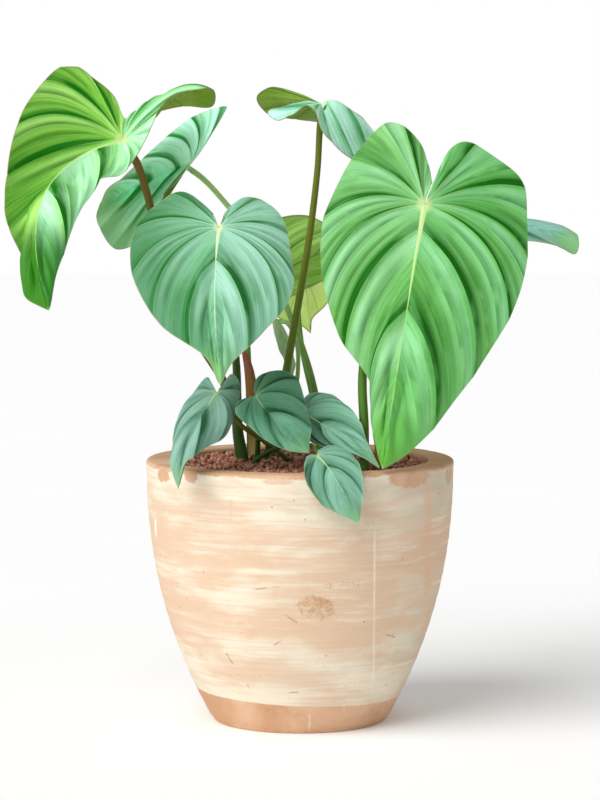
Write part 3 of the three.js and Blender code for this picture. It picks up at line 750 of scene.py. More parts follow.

# %% [markdown]
# The upper face of a blade is a satin skin. Its colour is laid in coats: a body colour with soft
# cloudy patches, a painted bluish sheen, painted highlights on the crests, painted shade in the
# grooves on the notch side of each vein, towards the margin and on some tips, fine parallel veins,
# thin pale lines where the main veins leave the junction, a cream rib and star, a yellower tip and
# a thin dry margin. The chart and the attributes say where each coat goes.

# %% Upper finish
FINE_VEINS = 22
VEIN_ROWS = 9
BROAD_STREAKS = 4.3
FOLD_SHADE = 22
SEED_STEP = 7.3
UNDER_SEED_STEP = 5.1
SEEDS = iter(range(100))

# Colours of each kind of blade: body, cloud (patches), light (streaks, fine veins and the painted
# highlight on crests), deep (painted shade beside the grooves, towards the margin and on the tip,
# and fine dark flecks), mint (the painted bluish sheen), vein (thin lines), tip, dry (the margin)
# and heart (the pale spot where the veins meet). The mint kind is bluer and paler all over: the
# leaves' own bluish green with their sheen painted into it.
GREENS = {
    "bright": dict(body=(0.105, 0.39, 0.055), cloud=(0.15, 0.46, 0.08), light=(0.27, 0.64, 0.11),
                   deep=(0.004, 0.125, 0.0), mint=(0.38, 0.75, 0.42), vein=(0.44, 0.74, 0.26),
                   tip=(0.13, 0.46, 0.03), dry=(0.40, 0.34, 0.17), heart=(0.62, 0.80, 0.34)),
    "mint": dict(body=(0.20, 0.51, 0.27), cloud=(0.14, 0.44, 0.17), light=(0.35, 0.67, 0.46),
                 deep=(0.010, 0.150, 0.020), mint=(0.38, 0.69, 0.50), vein=(0.52, 0.82, 0.54),
                 tip=(0.26, 0.58, 0.14), dry=(0.50, 0.42, 0.24), heart=(0.70, 0.86, 0.46)),
    "dark": dict(body=(0.14, 0.345, 0.22), cloud=(0.18, 0.40, 0.27), light=(0.24, 0.48, 0.35),
                 deep=(0.020, 0.100, 0.045), mint=(0.28, 0.52, 0.41), vein=(0.36, 0.60, 0.40),
                 tip=(0.22, 0.46, 0.20), dry=(0.42, 0.55, 0.40), heart=(0.46, 0.64, 0.26)),
    "pale": dict(body=(0.50, 0.72, 0.40), cloud=(0.42, 0.66, 0.30), light=(0.66, 0.82, 0.55),
                 deep=(0.25, 0.45, 0.16), mint=(0.58, 0.78, 0.55), vein=(0.70, 0.85, 0.55),
                 tip=(0.45, 0.66, 0.22), dry=(0.40, 0.38, 0.20), heart=(0.70, 0.86, 0.46)),
}


def crest_and_shade(finish, leaf, phase, out, streaks, clouds):
    """The painted highlight on the crests, and the painted shade in the grooves."""
    ease = finish.ease
    past_vein = finish.math("FRACT", phase)
    past_fold = finish.math("FRACT", phase * FOLDS)
    crest_highlight = ease(past_vein, 0.01, 0.10) * finish.fade(past_vein, 0.16, 0.60)
    # shade is painted shade on the notch side of each vein, where the pleat slopes away from the light, and
    # folded adds painted shade beside the fine folds.
    shade = ease(past_vein, 0.60, 0.96) * (1 - 0.3 * ease(out, 0.6, 1.0))
    folded = ease(past_fold, 0.45, 0.92) * ease(out, 0.15, 0.45) * KINDS[leaf["kind"]]["fold"] * FOLD_SHADE
    shade = (shade + folded * ease(clouds, 0.35, 0.55)) * ease(finish.attribute("star"), 0.02, 0.09)
    return crest_highlight, shade * (0.6 + 0.6 * ease(streaks, 0.35, 0.6))


def upper_finish(name, leaf):
    """An upper face's skin. Its halves differ in painted sheen, painted margin shade and tone."""
    green = GREENS[leaf["green"]]
    finish = Finish(name, Specular_IOR_Level=0.16)
    ease, fade, capped = finish.ease, finish.fade, finish.capped
    across, along = finish.chart()
    right_side = ease(across, 0.49, 0.51)
    out = finish.math("ABSOLUTE", across * 2 - 1)
    phase = along * KINDS[leaf["kind"]]["veins"]
    star = finish.attribute("star")
    rib_share = finish.attribute("along")
    open_blade = fade(rib_share, 0.75, 1.0)

    seed = next(SEEDS) * SEED_STEP
    fine = finish.noise(finish.vector(phase * FINE_VEINS, across * 4, seed), detail=3, rough=0.6)
    streaks = finish.noise(finish.vector(phase * BROAD_STREAKS, across * 3, seed + 3), detail=2)
    rows = ease(finish.math("SINE", (phase * VEIN_ROWS + streaks) * 2 * math.pi), -0.2, 1.0)
    clouds = finish.noise(finish.place(), scale=17, detail=3, rough=0.55, twist=0.4)
    patches = finish.noise(finish.place(), scale=11, twist=0.8)
    pores = finish.noise(finish.place(), scale=900, detail=2)
    crest_highlight, shade = crest_and_shade(finish, leaf, phase, out, streaks, clouds)

    def by_half(pair):
        return pair[0] + right_side * (pair[1] - pair[0])

    # bloom paints a pale bluish sheen over the colour, in patches, and waxy is the colour of the painted
    # highlight on the crests.
    painted_sheen = by_half(leaf["painted_sheen"])
    crest_highlight_colour = finish.mix(0.5 + 0.5 * painted_sheen, green["light"], green["mint"])
    painted_sheen = painted_sheen * (0.35 + 0.9 * ease(patches, 0.4, 0.65))
    coat = finish.coats(
        green["body"],
        (ease(clouds, 0.42, 0.66), green["cloud"]),
        (capped(painted_sheen) * 0.7, green["mint"]),
        (ease(streaks, 0.46, 0.68) * leaf["streaks"], green["light"]),
        (crest_highlight * (0.45 + 0.45 * ease(clouds, 0.38, 0.6)), crest_highlight_colour),
        (rows * 0.36 * open_blade, green["light"]),
        (ease(fine, 0.50, 0.72) * 0.2, green["light"]),
        # The next coats of deep are painted shade in the grooves, fine dark flecks of the skin itself,
        # painted shade towards the margin and painted shade on the tip.
        (capped(shade * open_blade * leaf["groove_shade"]), green["deep"]),
        (fade(fine, 0.28, 0.50) * 0.35 * open_blade, green["deep"]),
        (by_half(leaf["margin_shade"]) * (0.2 + 0.8 * ease(out, 0.35, 0.9)), green["deep"]),
        (ease(rib_share, 0.55, 0.8) * leaf["tip_shade"], green["deep"]),
    )
    # tone tints each half, and also paints light and shade by making a whole leaf or half lighter or
    # darker.
    coat = finish.stretch(coat, finish.mix(right_side, *leaf["tone"]))

    lines = vein_lines(finish, phase, 0.25, 0.9) * (1 - ease(star, 0.04, 0.24) * (1 - leaf["lines"]))
    tip = ease(rib_share, 0.72, 1.0) * (0.35 + 0.5 * fine) * (1 - leaf["tip_shade"])
    rib = fade(finish.attribute("rib"), 0.75, 1.25) * (1 - 0.45 * ease(rib_share, 0.3, 1.0))
    rib_colour = finish.mix(ease(rib_share, 0.0, 0.6), green["heart"], green["vein"])
    coat = finish.coats(
        coat,
        (lines * 0.65, green["vein"]),
        (tip, green["tip"]),
        (rib, rib_colour),
        (fade(star + 0.01 * fine, 0.012, 0.045) * leaf["heart"], green["heart"]),
        (fade(finish.attribute("edge"), 0.3, 1.5) * leaf["dryness"], green["dry"]),
    )
    finish.colour(coat)
    finish.roughness(0.40 + 0.16 * fine)
    finish.bump(fine * 0.7 + streaks * 0.6 + pores * 0.25, distance=0.0009, strength=0.5)
    return finish


def vein_lines(finish, phase, inner, outer):
    """1 on the main veins, with the line's inner and outer edge in mm from its middle."""
    return finish.fade(finish.math("PINGPONG", phase, 0.5) * finish.attribute("spacing"), inner, outer)

# %% [markdown]
# Seen from below a blade is paler and more olive, with its veins standing up where the upper face
# has grooves. Light comes through the young ones, which a faint glow of the same colour stands for.
# The edge between the two faces is a thin dry line, brownish where light shines on it.

# %% Lower finish and edge finish
GLOW = {"olive": 0.0, "leafy": 0.06, "lime": 0.16, "grey": 0.0}
UNDERSIDES = {
    "olive": dict(body=(0.16, 0.31, 0.02), light=(0.27, 0.44, 0.07), vein=(0.09, 0.20, 0.01)),
    "leafy": dict(body=(0.30, 0.60, 0.09), light=(0.43, 0.72, 0.19), vein=(0.13, 0.32, 0.03)),
    "lime": dict(body=(0.62, 0.86, 0.22), light=(0.72, 0.88, 0.32), vein=(0.34, 0.58, 0.12)),
    "grey": dict(body=(0.20, 0.36, 0.20), light=(0.32, 0.48, 0.30), vein=(0.13, 0.27, 0.12)),
}
EDGE_COLOUR = (0.20, 0.17, 0.10)
DRY_EDGE = ((0.30, 0.34, 0.14), (0.34, 0.27, 0.17))


def lower_finish(name, leaf):
    under = UNDERSIDES[leaf["under"]]
    glow = GLOW[leaf["under"]]
    finish = Finish(name, Specular_IOR_Level=0.2, Emission_Strength=glow)
    ease, fade = finish.ease, finish.fade
    across, along = finish.chart()
    phase = along * KINDS[leaf["kind"]]["veins"]
    seed = next(SEEDS) * UNDER_SEED_STEP
    fine = finish.noise(finish.vector(phase * FINE_VEINS, across * 5, seed), detail=3)
    clouds = finish.noise(finish.place(), scale=14, detail=3, twist=0.5)
    lines = vein_lines(finish, phase, 0.5, 1.6)
    coat = finish.coats(
        under["body"],
        (ease(clouds, 0.4, 0.65), under["light"]),
        (ease(fine, 0.45, 0.75) * 0.3, under["light"]),
        (fade(fine, 0.3, 0.45) * 0.3, under["vein"]),
        (lines * 0.5, under["vein"]),
        (fade(finish.attribute("rib"), 0.8, 1.3) * 0.5, under["light"]),
        (fade(finish.attribute("edge"), 0.5, 2.2) * 0.6, EDGE_COLOUR),
    )
    finish.colour(coat)
    if glow:
        finish.feed(finish.shader.inputs["Emission Color"], coat)
    finish.roughness(0.48 + 0.14 * fine)
    finish.bump(lines * 0.8 + fine * 0.5, distance=0.0008, strength=0.5)
    return finish


def edge_finish():
    finish = Finish("blade_edge", Specular_IOR_Level=0.3)
    spots = finish.noise(finish.place(), scale=90, detail=2)
    finish.colour(finish.mix(finish.ease(spots, 0.4, 0.6), *DRY_EDGE))
    finish.roughness(0.55 + 0.2 * spots)
    return finish


shared_edge = edge_finish()

# %% [markdown]
# Now every blade is made: the sheet, its thickness and its three finishes. The slim round rib that
# runs under it comes with the stalks.

# %% Blades
SLOTS = {
    "blade_bright": ("left", "right"), "blade_mint": ("rear_left", "centre_left", "top", "far_right"),
    "blade_olive": ("rear_centre", "rear_low"), "blade_pale": ("young",),
    "blade_dark": ("low_left", "low_centre", "low_right", "low_front"),
}
SLOT_OF = {name: slot for slot, names in SLOTS.items() for name in names}


def settle(piece, slot, *nodes):
    """The piece belongs to the plant's one body and stands for these solids."""
    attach(piece, "root")
    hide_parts(*nodes)


blades = []
for name, leaf in LEAVES.items():
    finishes = [upper_finish(f"skin_{name}", leaf), lower_finish(f"underside_{name}", leaf), shared_edge]
    blades.append(finished_object(f"leaf_{name}", blade_sheet(leaf), finishes))
    settle(blades[-1], SLOT_OF[name], f"blade_{name}")
thicken(blades, BLADE_THICKNESS)
for name, blade in zip(LEAVES, blades):
    corners = np.array([vertex.co for vertex in blade.data.vertices])
    low, high = (np.array(corner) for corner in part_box(f"blade_{name}"))
    past = max((low - corners.min(axis=0)).max(), (corners.max(axis=0) - high).max()) / MM
    print(f"{blade.name}: {len(blade.data.polygons)} faces, at most {past:.1f} mm past its solid's box")

# %% [markdown]
# Ribs and stalks are tubes. A tube is a grid wrapped round a line of places: its seam is merged and
# its ends are filled. The way it turns along the line is carried from ring to ring, so that it
# never twists.

# %% Tubes
STALK_SIDES = 20
STALK_RINGS = 90


def carried_frames(centres):
    """Two ways across the line at each of its places, carried along without a twist."""
    tangents = unit(np.gradient(centres, axis=0))
    one = unit(np.array([1.0, 0, 0]) - tangents[0] * tangents[0][0])
    ones = []
    for tangent in tangents:
        one = unit(one - tangent * (one @ tangent))
        ones.append(one)
    ones = np.array(ones)
    return ones, np.cross(tangents, ones)


def tube(centres, radii, flatness=1.0, sides=STALK_SIDES):
    """A closed bmesh tube in mm round the centres, with a map of (around, along)."""
    ones, others = carried_frames(centres)
    rings = len(centres) - 1
    bm = bmesh.new()
    bm.loops.layers.uv.new(CHART)
    bmesh.ops.create_grid(bm, x_segments=sides, y_segments=rings, size=0.5, calc_uvs=True)
    for vertex in bm.verts:
        turn = 2 * np.pi * (vertex.co.x + 0.5)
        ring = round((vertex.co.y + 0.5) * rings)
        across = ones[ring] * np.cos(turn) + others[ring] * np.sin(turn) * flatness
        vertex.co = (centres[ring] + across * radii[ring]) * MM
    bmesh.ops.remove_doubles(bm, verts=bm.verts, dist=JOIN)
    bmesh.ops.holes_fill(bm, edges=[edge for edge in bm.edges if edge.is_boundary])
    return bm

# %% [markdown]
# A stalk is firm and round, with fine lines along it. Most are deep green, the young one is bright,
# and some are olive or brown. All are darker at the foot.

# %% Stem finish
STALK_COLOURS = {
    "green": dict(foot=(0.045, 0.13, 0.006), top=(0.13, 0.31, 0.025), light=(0.25, 0.46, 0.07)),
    "dark": dict(foot=(0.030, 0.075, 0.008), top=(0.06, 0.13, 0.014), light=(0.14, 0.26, 0.05)),
    "lime": dict(foot=(0.12, 0.26, 0.03), top=(0.36, 0.60, 0.20), light=(0.50, 0.72, 0.33)),
    "olive": dict(foot=(0.10, 0.19, 0.012), top=(0.15, 0.17, 0.012), light=(0.28, 0.36, 0.07)),
    "brown": dict(foot=(0.10, 0.11, 0.012), top=(0.15, 0.105, 0.008), light=(0.30, 0.26, 0.05)),
}


def stem_finish(name, colours):
    finish = Finish(name, Specular_IOR_Level=0.25)
    around, along = finish.chart()
    turns = finish.vector(finish.math("COSINE", around * 2 * math.pi),
                          finish.math("SINE", around * 2 * math.pi), along * 3)
    lines = finish.noise(finish.stretch(turns, (7, 7, 1)), detail=3, rough=0.6)
    clouds = finish.noise(turns, scale=1.6, detail=2)
    finish.colour(finish.coats(
        colours["foot"],
        (finish.ease(along + 0.3 * clouds, 0.25, 0.95), colours["top"]),
        (finish.ease(lines, 0.5, 0.75) * 0.55, colours["light"]),
        (finish.fade(lines, 0.28, 0.42) * 0.5, colours["foot"]),
    ))
    finish.roughness(0.38 + 0.2 * lines)
    finish.bump(lines, distance=0.0006, strength=0.6)
    return finish


stem_finishes = {name: stem_finish(f"stalk_{name}", colours) for name, colours in STALK_COLOURS.items()}

# %% [markdown]
# A stalk rises out of the granules, bends to its leaf and meets it under the junction, a little
# way along the rib. There it swells slightly, as the joint of such a leaf does, and its last rings
# are pressed down to stay under the blade. Under the blade itself runs a slim round rib that thins
# from the stalk to the tip, tucked up between the two halves.

# %% Stalks and ribs under the blades
SEAT_INSET = 5
FOOT_DEPTH = 40
FLARE_POWER = 3
KNEE_SWELL = 0.16
KNEE_LENGTH = 0.06
FACE_SHARE = 0.62
PRESS_REACH = 9
PRESS_DEPTH = 1.0
PRESS_SLOPE = 0.8
RIB_SHARES = np.linspace(0.02, 0.96, 60)
RIB_BELOW = 0.62
RIB_SIDES = 12
RIB_DROP = 1.3
RIB_CLEARANCE = 0.3
OLIVE_STALKS = ("left", "top", "young", "low_left")
stem_lines = {}


def stalk_seat(leaf):
    """Where on the rib a stalk ends, the way out of the upper face there, and the way across."""
    rib = Parabola(leaf["rib"])
    table = np.linspace(0, 1, CURVE_TABLE)
    length = np.concatenate([[0], np.cumsum(np.linalg.norm(np.diff(rib.at(table), axis=0), axis=1))])
    share = np.interp(SEAT_INSET, length, table)
    up = face_up(leaf, [share])[0]
    return rib.at([share])[0], up, np.cross(rib.direction([share])[0], up)


def face_up(leaf, shares):
    """The way out of the upper face along the rib."""
    rib = Parabola(leaf["rib"])
    place = rib.at(shares)
    ways = []
    for side in ("left", "right"):
        across = HalfBlade(leaf, side).margin.walked(np.full(len(place), FACE_SHARE)) - place
        ways.append(unit(np.cross(rib.direction(shares), across)))
    return unit(ways[1] - ways[0])


def press_under(bm, seat, up, across):
    """Keeps the end of a stalk below the blade it carries, whose halves slope away from the rib."""
    for vertex in bm.verts:
        offset = np.array(vertex.co) / MM - seat
        height = offset @ up + PRESS_DEPTH + PRESS_SLOPE * abs(offset @ across)
        if np.linalg.norm(offset) < PRESS_REACH and height > 0:
            vertex.co = Vector((seat + offset - up * height) * MM)


for name, leaf in LEAVES.items():
    seat, up, across = stalk_seat(leaf)
    x, y, _ = leaf["stalk"][0]
    route = SmoothCurve([(x, y, GROUND - FOOT_DEPTH), *leaf["stalk"], tuple(seat)])
    shares = np.linspace(0, 1, STALK_RINGS + 1)
    slim = 1 - (1 - shares) ** FLARE_POWER if leaf.get("flare") else shares
    radii = leaf["base"] + (leaf["top"] - leaf["base"]) * slim
    radii *= 1 + KNEE_SWELL * np.exp(-((1 - shares - KNEE_LENGTH / 2) / KNEE_LENGTH) ** 2)
    centres = route.walked(shares)
    stem_lines[name] = (centres, radii)
    bm = tube(centres, radii)
    press_under(bm, seat, up, across)
    stalk = finished_object(f"stem_{name}", bm, [stem_finishes[leaf["stem"]]])
    settle(stalk, "stalk_olive" if name in OLIVE_STALKS else "stalk_green", f"stalk_{name}")

    rib = Parabola(leaf["rib"])
    length = np.linalg.norm(np.diff(rib.at(shares), axis=0), axis=1).sum()
    radii = rib_half_width(RIB_SHARES, length) * RIB_BELOW
    drop = (radii * RIB_DROP + RIB_CLEARANCE)[:, None]
    bm = tube(rib.at(RIB_SHARES) - face_up(leaf, RIB_SHARES) * drop, radii, sides=RIB_SIDES)
    midrib = finished_object(f"midrib_{name}", bm, [stem_finishes["lime"]])
    settle(midrib, SLOT_OF[name], f"blade_{name}")
print(len(LEAVES), "stalks, the thickest", 2 * max(leaf["base"] for leaf in LEAVES.values()), "mm")

# %% [markdown]
# The pot was thrown or pressed in terracotta with a thick flat rim. Its outline is one curve: full
# at the rim and drawn in faster towards the foot. A profile is drawn once, from the middle of the
# floor inside, over the rim and down to the foot, and spun round the upright axis. Faint rings from
# the wheel stay within its outline.

# %% Pot
POT_HEIGHT = 256
POT_RADIUS = 150
FOOT_RADIUS = 85.5
BELLY_POWER = 2.25
RIM_WIDTH = 25
RIM_EDGE = 3
FLOOR_THICKNESS = 24
CAVITY_FOOT_RADIUS = 66
WALL_STEPS = 90
SPIN_STEPS = 192
RING_DEPTH = 0.12
RING_TURNS = (0.9, 0.37)
LEVEL_FLOOR = 0.6


def outer_radius(height):
    down = 1 - height / POT_HEIGHT
    return POT_RADIUS - (POT_RADIUS - FOOT_RADIUS) * down ** BELLY_POWER


def cavity_radius(height):
    down = (POT_HEIGHT - height) / (POT_HEIGHT - FLOOR_THICKNESS)
    mouth = POT_RADIUS - RIM_WIDTH
    return mouth - (mouth - CAVITY_FOOT_RADIUS) * down ** BELLY_POWER


def rounding(centre, start, end, steps=6):
    """Points of a rounded edge, with turns in degrees."""
    radius, height = centre
    turns = np.radians(np.linspace(start, end, steps))
    return [(radius + RIM_EDGE * math.cos(turn), height + RIM_EDGE * math.sin(turn)) for turn in turns]


def wheel_rings(height):
    return RING_DEPTH * (2 + math.sin(height * RING_TURNS[0]) + math.sin(height * RING_TURNS[1] + 1))


def pot_profile():
    profile = [(0, FLOOR_THICKNESS), (CAVITY_FOOT_RADIUS * LEVEL_FLOOR, FLOOR_THICKNESS)]
    for height in np.linspace(FLOOR_THICKNESS, POT_HEIGHT - RIM_EDGE, WALL_STEPS // 2)[:-1]:
        profile.append((cavity_radius(height), height))
    profile += rounding((POT_RADIUS - RIM_WIDTH + RIM_EDGE, POT_HEIGHT - RIM_EDGE), 180, 90)
    profile += rounding((POT_RADIUS - RIM_EDGE, POT_HEIGHT - RIM_EDGE), 90, 0)
    for height in np.linspace(POT_HEIGHT - RIM_EDGE, RIM_EDGE, WALL_STEPS)[1:-1]:
        profile.append((outer_radius(height) - wheel_rings(height), height))
    profile += rounding((FOOT_RADIUS - RIM_EDGE, RIM_EDGE), 0, -90)
    profile.append((0, 0))
    return profile


def spun(profile, steps):
    """A closed bmesh turned from a profile of radius and height in mm."""
    bm = bmesh.new()
    corners = [bm.verts.new((radius * MM, 0, height * MM)) for radius, height in profile]
    edges = [bm.edges.new(pair) for pair in zip(corners, corners[1:])]
    bmesh.ops.spin(bm, geom=corners + edges, cent=(0, 0, 0), axis=(0, 0, 1), angle=2 * math.pi,
                   steps=steps, use_merge=True)
    bmesh.ops.remove_doubles(bm, verts=bm.verts, dist=JOIN)
    bmesh.ops.recalc_face_normals(bm, faces=bm.faces)
    return bm

# %% [markdown]
# The finish of the pot is what makes it old: a cream whitewash brushed round it in thin coats, so
# that the peach clay shows through in level streaks, most in the middle of the wall. The wash greys
# in broad mottles, and painted shade greys it further on the right side, away from the light. It
# stops in a ragged line at the rim and in a clean one above the foot, has worn off in patches, and
# carries upright runs, a scar and a few scratches. Marks have named places in metres on the front
# of the pot.

# %% Pot finish
CLAY = (0.60, 0.345, 0.195)
CLAY_DARK = (0.46, 0.22, 0.11)
CLAY_PALE = (0.76, 0.50, 0.33)
WASH = (0.86, 0.775, 0.615)
WASH_WHITE = (0.93, 0.88, 0.76)
WASH_GREY_AND_SHADE = (0.56, 0.51, 0.39)
WASH_PEACH = (0.77, 0.53, 0.355)
RUST = (0.52, 0.25, 0.09)
FOOT_LINE = 0.0295
FOOT_TILT = 0.04
RIM_LINE = 0.2525
INSIDE_RADIUS = 0.13

# Worn patches, each as (middle, half size, strength), in metres.
PATCHES = (
    ((-0.130, -0.074, 0.2475), (0.0075, 0.03, 0.0075), 1.0),
    ((-0.103, -0.104, 0.2505), (0.0075, 0.03, 0.007), 1.0),
    ((0.104, -0.104, 0.2475), (0.025, 0.04, 0.0085), 0.9),
    ((0.144, -0.042, 0.245), (0.006, 0.03, 0.010), 0.7),
    ((0.030, -0.143, 0.2515), (0.022, 0.03, 0.003), 0.6),
    ((-0.020, -0.146, 0.250), (0.016, 0.03, 0.003), 0.5),
)

# Upright runs on the front, each as (across, half width, low end, high end, colour, strength).
RUNS = (
    (0.122, 0.0045, 0.080, 0.246, CLAY_PALE, 0.65),
    (0.070, 0.0012, 0.045, 0.205, WASH_WHITE, 0.6),
    (-0.139, 0.0015, 0.180, 0.205, WASH_WHITE, 0.9),
    (0.009, 0.0014, 0.000, 0.024, WASH, 0.6),
    (0.042, 0.0018, 0.019, 0.029, WASH, 0.6),
    (-0.065, 0.0016, 0.208, 0.235, CLAY_PALE, 0.5),
)

# Scratches on the front, each as (start, end), across and up.
SCRATCHES = (
    ((-0.014, 0.1225), (-0.003, 0.1155)), ((-0.0165, 0.1175), (-0.0155, 0.1205)),
    ((-0.024, 0.0925), (-0.016, 0.0985)), ((-0.070, 0.0805), (-0.064, 0.0705)),
    ((-0.044, 0.1465), (-0.020, 0.1505)), ((-0.050, 0.0500), (-0.046, 0.0430)),
    ((0.082, 0.0980), (0.090, 0.0945)), ((-0.010, 0.0440), (-0.002, 0.0445)),
)
SCRATCH_WIDTH = 0.0009
SCAR = ((0.015, -0.135, 0.130), (0.022, 0.03, 0.012))
SCAR_TAIL = ((0.040, -0.135, 0.150), (0.020, 0.03, 0.005))


def spot(finish, place, middle, half_size, rough):
    """1 in a ragged patch round a middle, 0 outside it."""
    offset = finish.node("ShaderNodeVectorMath", {"operation": "SUBTRACT"}, {0: place, 1: middle})
    scaled = finish.stretch(offset, tuple(1 / size for size in half_size))
    reach = finish.node("ShaderNodeVectorMath", {"operation": "LENGTH"}, {0: scaled}, "Value")
    return finish.fade(reach + (rough - 0.5) * 1.6, 0.75, 1.05)


def upright_run(finish, place, run, rough):
    """1 in a ragged upright run on the front of the pot."""
    across, half_width, low, high = run[:4]
    x, y, z = finish.split(place)
    beside = finish.math("ABSOLUTE", x - across + (rough - 0.5) * half_width)
    inside = finish.fade(beside, half_width * 0.4, half_width * 1.2)
    inside = inside * finish.ease(z, low, low + 0.01) * finish.fade(z, high - 0.006, high)
    return inside * finish.math("LESS_THAN", y, 0.0) * (0.5 + finish.ease(rough, 0.35, 0.6) * 0.5)


def scratch_mark(finish, x, z, start, end):
    """1 along a short straight scratch on the front of the pot."""
    (start_x, start_z), (end_x, end_z) = start, end
    run_x, run_z = end_x - start_x, end_z - start_z
    off_x, off_z = x - start_x, z - start_z
    share = (off_x * run_x + off_z * run_z) / (run_x ** 2 + run_z ** 2)
    share = finish.capped(finish.math("MAXIMUM", share, 0.0))
    away = ((off_x - share * run_x) ** 2 + (off_z - share * run_z) ** 2) ** 0.5
    return finish.fade(away, SCRATCH_WIDTH * 0.3, SCRATCH_WIDTH)


def pot_finish():
    finish = Finish("whitewashed_terracotta", Specular_IOR_Level=0.25)
    ease, fade, coats = finish.ease, finish.fade, finish.coats
    place = finish.place()
    x, y, z = finish.split(place)
    front = finish.math("LESS_THAN", y, 0.0)
    brush = finish.noise(finish.stretch(place, (9, 9, 330)), detail=3, rough=0.6)
    streak = finish.noise(finish.stretch(place, (8, 8, 90)), detail=4, rough=0.6, twist=0.2)
    broad = finish.noise(finish.stretch(place, (11, 11, 32)), detail=4, rough=0.55, twist=0.5)
    cloud = finish.noise(place, scale=13, detail=4, rough=0.6, twist=0.5)
    rough = finish.noise(place, scale=70, detail=4, rough=0.7)
    grit = finish.noise(place, scale=420, detail=3, rough=0.7)

    clay = coats(CLAY, (ease(cloud, 0.35, 0.7), CLAY_PALE), (ease(rough, 0.55, 0.75) * 0.3, CLAY_DARK))
    # painted_shade_on_right is painted shade: the wash greys towards the right side, away from the light.
    painted_shade_on_right = ease(x + (broad - 0.5) * 0.08, 0.05, 0.13)
    band = ease(z, 0.055, 0.11) * fade(z, 0.17, 0.25)
    thin = broad * 0.4 + streak * 0.35 + brush * 0.15 + cloud * 0.1 + band * 0.09
    wash = coats(
        WASH,
        (ease(broad, 0.42, 0.7) * 0.4 + painted_shade_on_right * 0.6, WASH_GREY_AND_SHADE),
        (ease(thin, 0.47, 0.62) * 0.85, WASH_PEACH),
        (ease(streak, 0.56, 0.72) * 0.45, WASH_WHITE),
        (ease(brush, 0.50, 0.62) * 0.16, CLAY_PALE),
    )

    above_foot = z + FOOT_TILT * x + (rough - 0.5) * 0.0015 - FOOT_LINE
    above_rim = z + (rough - 0.5) * 0.007 + (cloud - 0.5) * 0.006 - RIM_LINE
    inside = finish.math("LESS_THAN", (x ** 2 + y ** 2) ** 0.5, INSIDE_RADIUS) * ease(z, 0.19, 0.20)
    covered = ease(above_foot, -0.0006, 0.0006) * fade(above_rim, -0.0012, 0.0012) * (1 - inside)
    for middle, half_size, strength in PATCHES:
        covered = covered * (1 - spot(finish, place, middle, half_size, rough) * strength)
    crumbs = ease(finish.noise(place, scale=240, detail=2), 0.66, 0.70) * ease(cloud, 0.45, 0.6)
    covered = covered * (1 - crumbs * 0.5)
    coat = finish.mix(covered, clay, wash)

    for run in RUNS:
        coat = finish.mix(upright_run(finish, place, run, streak) * run[5], coat, run[4])
    loops = finish.math("ABSOLUTE", finish.noise(place, scale=120, detail=2, twist=1.2) - 0.5)
    scribble = fade(loops, 0.01, 0.05)
    smear = ease(streak * 0.5 + rough * 0.5, 0.42, 0.58)
    scar = spot(finish, place, *SCAR, rough)
    tail = spot(finish, place, *SCAR_TAIL, rough)
    scarred = scar * (0.15 + 0.35 * smear + 0.4 * scribble) + tail * (0.3 * smear + 0.4 * scribble)
    scratches = 0
    for start, end in SCRATCHES:
        scratches = scratches + scratch_mark(finish, x, z, start, end)
    scratches = finish.capped(scratches) * front * ease(rough, 0.40, 0.56)
    pits = finish.node("ShaderNodeTexVoronoi", {}, {"Vector": place, "Scale": 75.0}, "Distance")
    pits = fade(pits, 0.05, 0.10) * ease(rough, 0.5, 0.6)
    finish.colour(coats(coat, (scarred, RUST), (scratches * 0.75, RUST), (pits * 0.8, CLAY_DARK)))
    finish.roughness(0.78 + 0.14 * rough)
    relief = brush * 0.35 + covered * 0.35 + grit * 0.3
    hollows = pits * 0.9 + scratches * 0.5 + scar * scribble * 0.5
    finish.bump(relief - hollows, distance=0.0011, strength=0.5)
    return finish


pot = finished_object("pot_wall", spun(pot_profile(), SPIN_STEPS), [pot_finish()])
settle(pot, "terracotta", "pot")
print("pot", len(pot.data.polygons), "faces")

# %% [markdown]
# The pot is filled with fired clay granules, red-brown lumps of four to six millimetres. Only the
# top layer shows, so a bed fills the pot, dark with the painted shade of the gaps between the lumps,
# and a few thousand separate lumps lie on it, scattered on a loose lattice with a fixed seed. They
# keep clear of the stems. One lump has few faces, and each has its own turn, size and tone.

# %% Granules
BED_DROP = 9
BED_DOME = 4
WALL_GAP = 0.7
LUMP_PITCH = 5.0
LUMP_SIZE = 2.55
LUMP_LIFTS = (0.4, 1.2, 2.4, 3.6, 5.0)
LUMP_SCATTER = 1.3
LUMP_RANGE = (0.78, 1.1)
LUMP_ROUGHNESS = 0.3
LATTICE_ROW = 0.866
STEM_ROOM = 1.2
draw = np.random.default_rng(7)


def bed_height(radius, edge):
    return POT_HEIGHT - BED_DROP + BED_DOME * (1 - radius / edge)


def stem_clear(x, y, z):
    """Whether a lump here keeps clear of every stem."""
    here = np.array([x, y, z])
    return all(
        (np.linalg.norm(centres - here, axis=1) - radii).min() > LUMP_SIZE - STEM_ROOM
        for centres, radii in stem_lines.values()
    )


def lump_places(edge):
    """Places of the lumps on a loose triangular lattice, some lifted onto their neighbours."""
    places = []
    rows = int(2 * edge / (LUMP_PITCH * LATTICE_ROW)) + 1
    for row in range(rows):
        for column in range(int(2 * edge / LUMP_PITCH) + 2):
            x = (column + 0.5 * (row % 2)) * LUMP_PITCH - edge + draw.uniform(-LUMP_SCATTER, LUMP_SCATTER)
            y = row * LUMP_PITCH * LATTICE_ROW - edge + draw.uniform(-LUMP_SCATTER, LUMP_SCATTER)
            radius = math.hypot(x, y)
            z = bed_height(radius, edge) + draw.choice(LUMP_LIFTS)
            if radius < edge - LUMP_SIZE and stem_clear(x, y, z):
                places.append((x, y, z))
    return places


